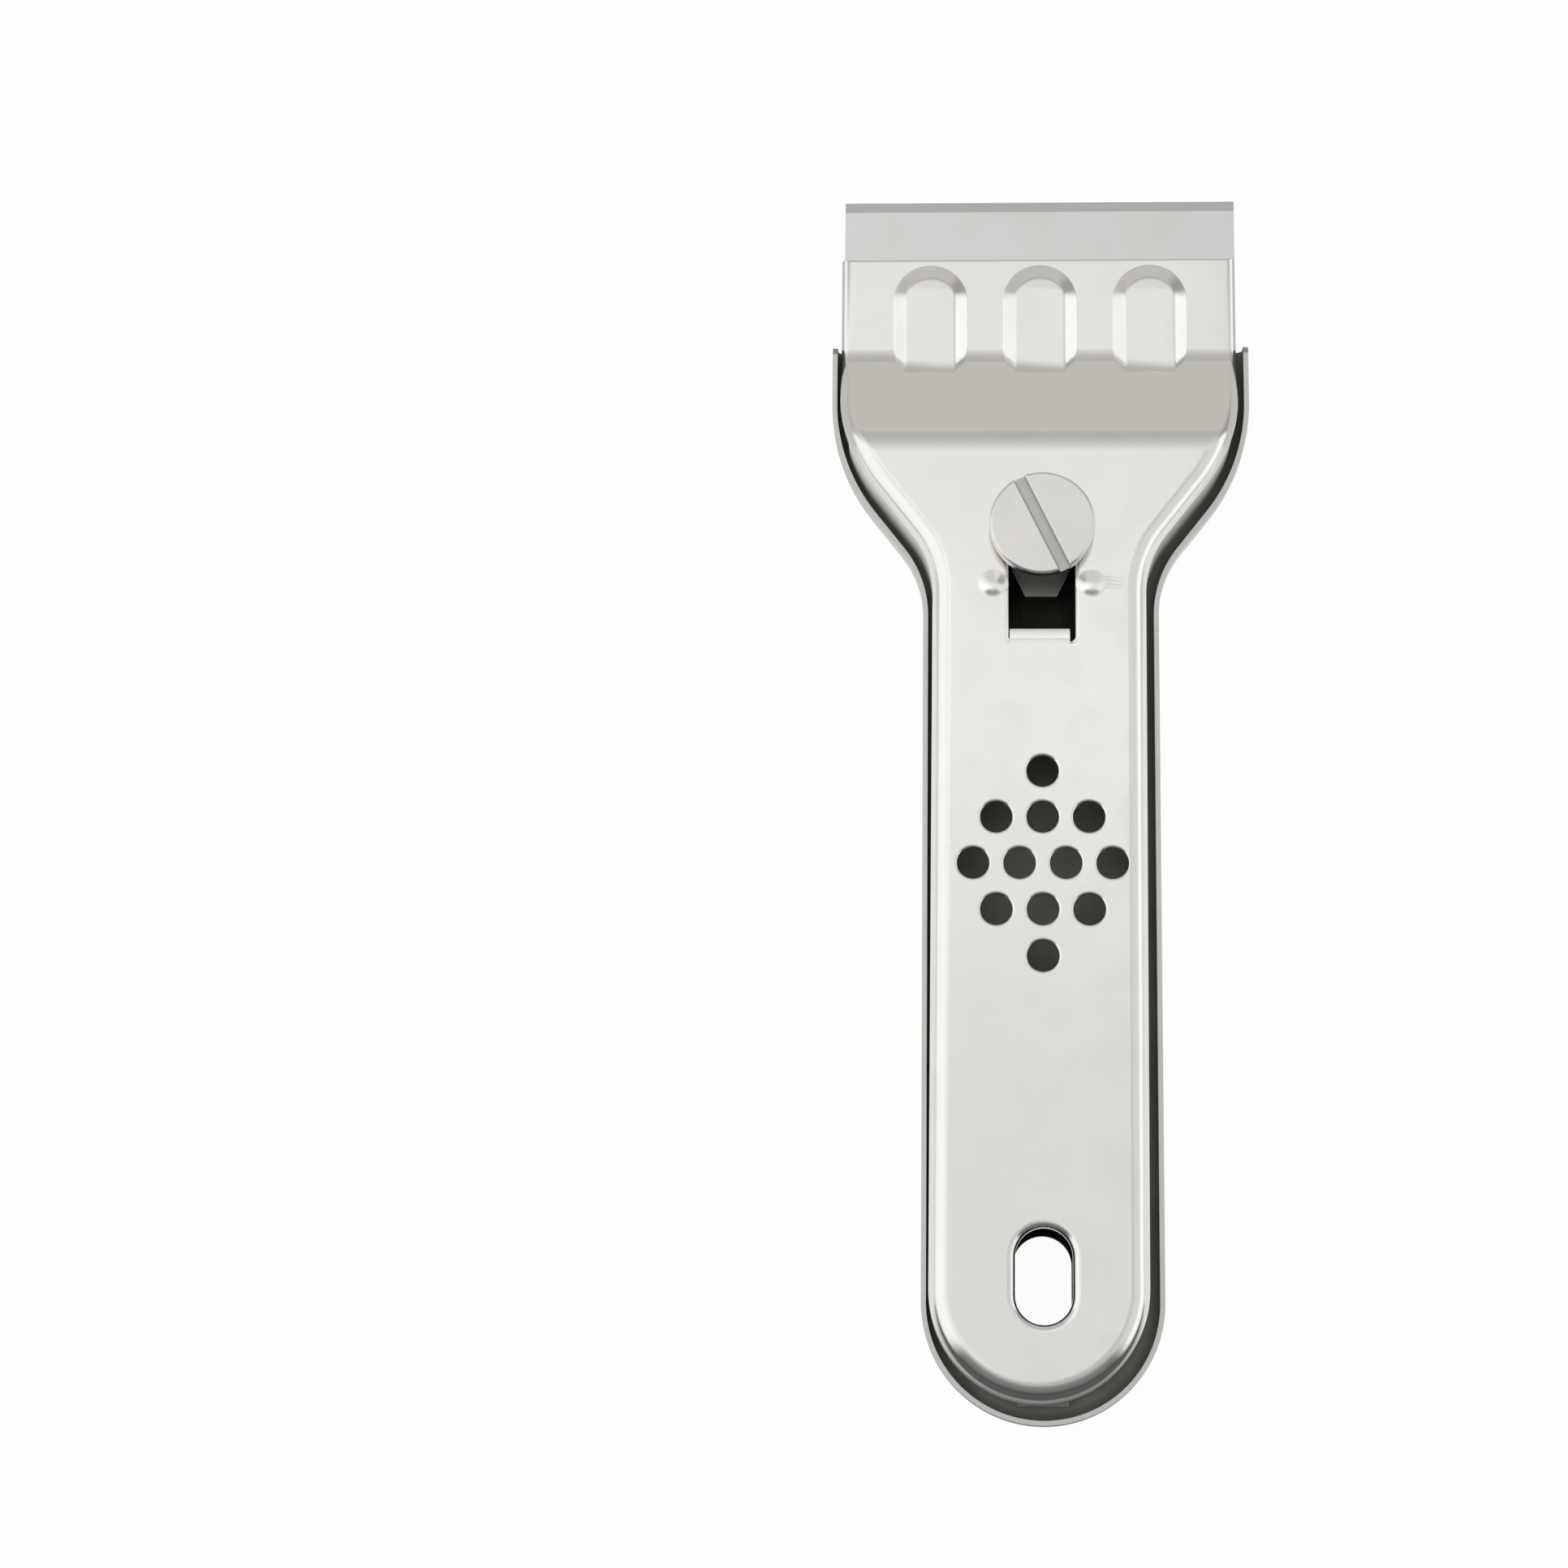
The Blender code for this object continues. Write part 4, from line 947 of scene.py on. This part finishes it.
def press_cover():
    tail = cover_shape["tail_y"]
    cover = cover_block("cover", 0)
    core = cover_block("cover_core", sheet)
    for index in (-1, 0, 1):
        combine(cover, "UNION", channel(f"rib_{index + 1}", index * channel_pitch, 0))
        combine(core, "UNION", channel(f"rib_core_{index + 1}", index * channel_pitch, sheet))
    combine(cover, "DIFFERENCE", core)
    step = head_skirt_low - skirt_low
    lip_hub = (jaw_front_y - jaw_lip_radius, jaw_top - jaw_lip_radius)
    lip = arc(lip_hub, jaw_lip_radius, jaw_lip_start, 0, jaw_lip_steps)
    ahead = [(lip_hub[0], far), *lip, (jaw_front_y, -far), (2 * far, -far), (2 * far, far)]
    front = side_prism("front_cut", ahead, -far, far)
    below = [(-2 * far, -far), (2 * far, -far), (2 * far, head_skirt_low),
             (skirt_step_y, head_skirt_low), (skirt_step_y - step, skirt_low), (-2 * far, skirt_low)]
    below = side_prism("skirt_cut", below, -far, far)
    notch = block("tail_notch", lug_half + nib_play, tail - 2 * sheet, tail + 2 * sheet,
                  nib_low - nib_play, nib_low + sheet + nib_play)
    window = punch("window", window_outline, slot_flare, slot_flare_steps)
    combine(cover, "DIFFERENCE", front, below, notch, window)
    collar = oblong(hang_half, hang_length, hang_y, sheet)
    collar = loft("hang_collar", flat_rings(collar, cover_top - collar_drop, cover_top - sheet / 2))
    combine(cover, "UNION", lip_piece(), collar)
    for side in (-1, 1):
        combine(cover, "UNION", pip(f"pip_{side + 1}", side * pip_x, 0, 1))
    for side in (-1, 1):
        inside = pip(f"pip_hollow_{side + 1}", side * pip_x, sheet, pip_hollow_share)
        combine(cover, "DIFFERENCE", inside)
    hang_outline = lambda grow: oblong(hang_half, hang_length, hang_y, grow)
    hang = punch("hang", hang_outline, hang_flare, hang_flare_steps)
    combine(cover, "DIFFERENCE", hang, hole_punches())
    finishes = (cover_steel, inside_painted_shade_steel, drawn_painted_light_steel, wall_steel, pip_painted_light_steel)
    return finished(cover, "housing", ["top_shell"], finishes, cover_face)


cover = press_cover()

# %% [markdown]
# ## The tray
# The tray is pressed the other way up: a floor with a wall all round and a plain tongue in front. Its
# wall shows as a thin bright line round the cover, and the dark gap beside it, real shade deepened by
# the painted shade of the inside steel, is what makes the scraper look like two sheets.

# %% Press the tray
tray_wall_top = 3.3 * MM
tray_bend = 1.5 * MM
wall_front_y = 46.3 * MM
wall_nose = 1.0 * MM
tongue_half = 19.6 * MM
tongue_corner = 2.0 * MM
nut_channel_half = 3.8 * MM
nut_channel_rear_y = 13.0 * MM
nut_channel_front_y = 30.5 * MM
nut_channel_y = (nut_channel_front_y + nut_channel_rear_y) / 2
nut_channel_top = 3.7 * MM
nut_channel_edge = 0.8 * MM
nut_channel_edge_steps = 6
nut_channel_corner_steps = 5
least_corner = 0.05 * MM
# Round the nut's channel the tray is painted near-black as shade
black_shade_half = nut_channel_half + 1.2 * MM
black_shade_length = 10 * MM
hang_margin = 2 * MM
tray_hang_grow = 0.1 * MM
travel = 7.0 * MM
travel_play = 0.3 * MM
shank_clearance = 2.3 * MM
# The tray's blank is taller than the tray, and its core is taller still
blank_spare = 5 * MM
core_spare = 9 * MM
# The tray's finishes, in the order in which they're handed over
TRAY_FACE, TRAY_INSIDE, TRAY_PAINTED_BLACK_SHADE = range(3)
tray_looks_out = 0.3
channel_looks_down = -0.5


def tray_block(name, inset, top):
    places = stations(tray_shape, far, [])
    bend = tray_bend - inset
    rings = flat_rings(plan_outline(tray_shape, places, lambda y: inset), top)
    for step in range(edge_steps + 1):
        swing = pi / 2 * step / edge_steps
        outline = plan_outline(tray_shape, places, lambda y: inset + bend * (1 - cos(swing)))
        rings += flat_rings(outline, inset + bend * (1 - sin(swing)))
    return loft(name, rings, len(places))


def rib_block(name, shrink):
    """The nut's channel: a long box with rounded upper edges."""
    edge = nut_channel_edge - shrink
    half = nut_channel_half + sheet - shrink
    length = (nut_channel_front_y - nut_channel_rear_y) / 2 - shrink
    middle = nut_channel_y
    rings = []
    # The rib starts inside the floor's sheet, and the trench well below it
    levels = [(0.0, sheet / 2 - 6 * shrink)]
    for step in range(nut_channel_edge_steps + 1):
        swing = pi / 2 * step / nut_channel_edge_steps
        levels.append((edge * (1 - cos(swing)), nut_channel_top - shrink - edge * (1 - sin(swing))))
    for inward, z in levels:
        x, y, r = half - inward, length - inward, max(edge - inward, least_corner)
        corners = [(x, middle + y), (-x, middle + y), (-x, middle - y), (x, middle - y)]
        rings += flat_rings(rounded(corners, (r,) * 4, nut_channel_corner_steps), z)
    return loft(name, rings)


def tray_face(middle, facing):
    across, z = abs(middle.x), middle.z
    on_lug = across <= lug_half and abs(middle.y - lug_y) < 1.1 * nib_reach
    # Round the nut's channel and the hang hole the tray is painted near-black as shade
    if across < black_shade_half and abs(middle.y - nut_channel_y) < black_shade_length:
        return TRAY_PAINTED_BLACK_SHADE if facing.z > channel_looks_down and z > 2 * hair else TRAY_FACE
    if near_hang_hole(middle, hang_margin):
        return TRAY_PAINTED_BLACK_SHADE if z > 2 * hair else TRAY_FACE
    # The lug under the cover's tail takes the inside steel, painted shade
    if on_lug and sheet < z < nib_low + 2 * sheet:
        return TRAY_INSIDE
    if facing.z < looks_down or outward(tray_shape, middle, facing) > tray_looks_out:
        return TRAY_FACE
    return TRAY_FACE if z > tray_wall_top - 2 * hair or middle.y > wall_front_y else TRAY_INSIDE


def press_tray():
    tray = tray_block("tray", 0, tray_wall_top + blank_spare)
    combine(tray, "DIFFERENCE", tray_block("tray_core", sheet, tray_wall_top + core_spare))
    above = [(-2 * far, tray_wall_top), (wall_front_y, tray_wall_top), (wall_front_y, sheet),
             (2 * far, sheet), (2 * far, far), (-2 * far, far)]
    above = rounded(above, (0, wall_nose, 0, 0, 0, 0), bend_steps)
    combine(tray, "DIFFERENCE", side_prism("wall_cut", above, -far, far))
    front = jaw_front_y - sheet
    keep = [(far, -2 * far), (far, wall_front_y), (tongue_half, wall_front_y), (tongue_half, front),
            (-tongue_half, front), (-tongue_half, wall_front_y), (-far, wall_front_y), (-far, -2 * far)]
    keep = rounded(keep, (0, 0, 0, tongue_corner, tongue_corner, 0, 0, 0), bend_steps)
    combine(tray, "INTERSECT", loft("tray_keep", flat_rings(keep, -far, far)))
    combine(tray, "UNION", rib_block("nut_channel", 0))
    combine(tray, "DIFFERENCE", rib_block("nut_trench", sheet))
    slot = oblong(shank_clearance, travel / 2 + shank_clearance + travel_play, screw_y - travel / 2, 0)
    combine(tray, "DIFFERENCE", loft("nut_slot", flat_rings(slot, nut_channel_top - 2 * sheet, far)))
    hang = oblong(hang_half, hang_length, hang_y, tray_hang_grow)
    combine(tray, "DIFFERENCE", loft("tray_hang", flat_rings(hang, -far, sheet * 3)))
    opening = block("lug_opening", lug_half + nib_play, lug_y + sheet / 2, lug_y + lug_opening,
                    -far, nib_low)
    combine(tray, "DIFFERENCE", opening)
    combine(tray, "UNION", tail_lug())
    finishes = (tray_steel, inside_painted_shade_steel, painted_shade_black_steel)
    return finished(tray, "housing", ["bottom_tray"], finishes, tray_face)


tray = press_tray()

# %% [markdown]
# ## The screw
# The head is turned, so its face has faint rings, and its slot is sawn right across. The slot's floor
# is rougher and darker than the face. The saw leaves a small burr that catches the light along both
# edges, and here a narrow chamfer does that.

# %% Turn the screw
head_radius = 5.2 * MM
head_low = cover_top + 0.85 * MM
head_high = head_low + 1.5 * MM
head_edge = 0.3 * MM
head_edge_steps = 6
head_low_edge = 0.2 * MM
driver_half = 0.55 * MM
driver_depth = 0.8 * MM
driver_chamfer = 0.14 * MM
driver_turn = radians(26.0)
shank_radius = 2.0 * MM
thread_pitch = 0.7 * MM
thread_depth = 0.3 * MM
shoulder_radius = 3.0 * MM
shoulder_low = 5.1 * MM
screw_tip = 0.4 * MM
screw_steps = 96

screw_axis = (0, screw_y, 0)
screw_steel = steel("screw_face_steel", (0.77, 0.755, 0.73), 0.26, rings_about=screw_axis,
                    grain_size=0.11 * MM)
slot_steel = steel("screw_slot_steel", (0.60, 0.59, 0.575), 0.42, grain_size=0.16 * MM,
                   grain_depth=0.004 * MM)


def screw_profile():
    """From the head's face down to the tip: radius and height."""
    rim = head_radius - head_edge
    profile = [(rim, head_high)]
    for step in range(1, head_edge_steps + 1):
        swing = pi / 2 * (1 - step / head_edge_steps)
        profile.append((rim + head_edge * cos(swing), head_high - head_edge + head_edge * sin(swing)))
    profile += [(head_radius, head_low + head_low_edge), (head_radius - head_low_edge, head_low),
                (shoulder_radius, head_low), (shoulder_radius, shoulder_low),
                (shank_radius - thread_depth, shoulder_low)]
    for turn in range(int((shoulder_low - screw_tip) / thread_pitch)):
        crest = shoulder_low - turn * thread_pitch - thread_pitch / 2
        profile += [(shank_radius, crest), (shank_radius - thread_depth, crest - thread_pitch / 2)]
    return profile + [(shank_radius - 2 * thread_depth, screw_tip)]


def turn_screw():
    swings = [2 * pi * step / screw_steps for step in range(screw_steps)]
    screw = loft("screw", [[(r * cos(a), screw_y + r * sin(a), z) for a in swings]
                           for r, z in reversed(screw_profile())])
    low = head_high - driver_depth
    chamfer_low, chamfer_high = head_high - driver_chamfer, head_high + 2 * driver_chamfer
    wide = driver_half + 3 * driver_chamfer
    section = [(-driver_half, low), (driver_half, low), (driver_half, chamfer_low),
               (wide, chamfer_high), (-wide, chamfer_high), (-driver_half, chamfer_low)]
    ends = (-2 * head_radius, 2 * head_radius)
    saw = loft("saw_cut", [[(x, y, z) for x, z in section] for y in ends])
    saw.location.y = screw_y
    saw.rotation_euler.z = driver_turn
    combine(screw, "DIFFERENCE", saw)

    def screw_face(middle, facing):
        off_axis = hypot(middle.x, middle.y - screw_y)
        return int(low - hair < middle.z < chamfer_low and off_axis < head_radius - 5 * hair)

    return finished(screw, "screw", ["clamp_screw"], (screw_steel, slot_steel), screw_face)


screw = turn_screw()

# %% [markdown]
# ## The plain pieces
# The blade, its carrier, the pegs, the ring and the nut are right as they come from the frame. They
# only need their own steel: the blade is ground across, the carrier and pegs are plain punched sheet.

# %% Dress the plain pieces
peg_steel = steel("peg_steel", (0.58, 0.575, 0.56), 0.3)
ring_steel = steel("ring_steel", (0.66, 0.65, 0.63), 0.26, rings_about=screw_axis)
nut_steel = steel("nut_steel", (0.62, 0.61, 0.58), 0.36)
plain = {"blade": blade_steel, "blade_carrier": carrier_steel, "blade_peg_left": peg_steel,
         "blade_peg_centre": peg_steel, "blade_peg_right": peg_steel, "spacer_ring": ring_steel,
         "square_nut": nut_steel}
for name, finish in plain.items():
    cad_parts[name].material_slots[0].material = finish
print("dressed:", ", ".join(plain))
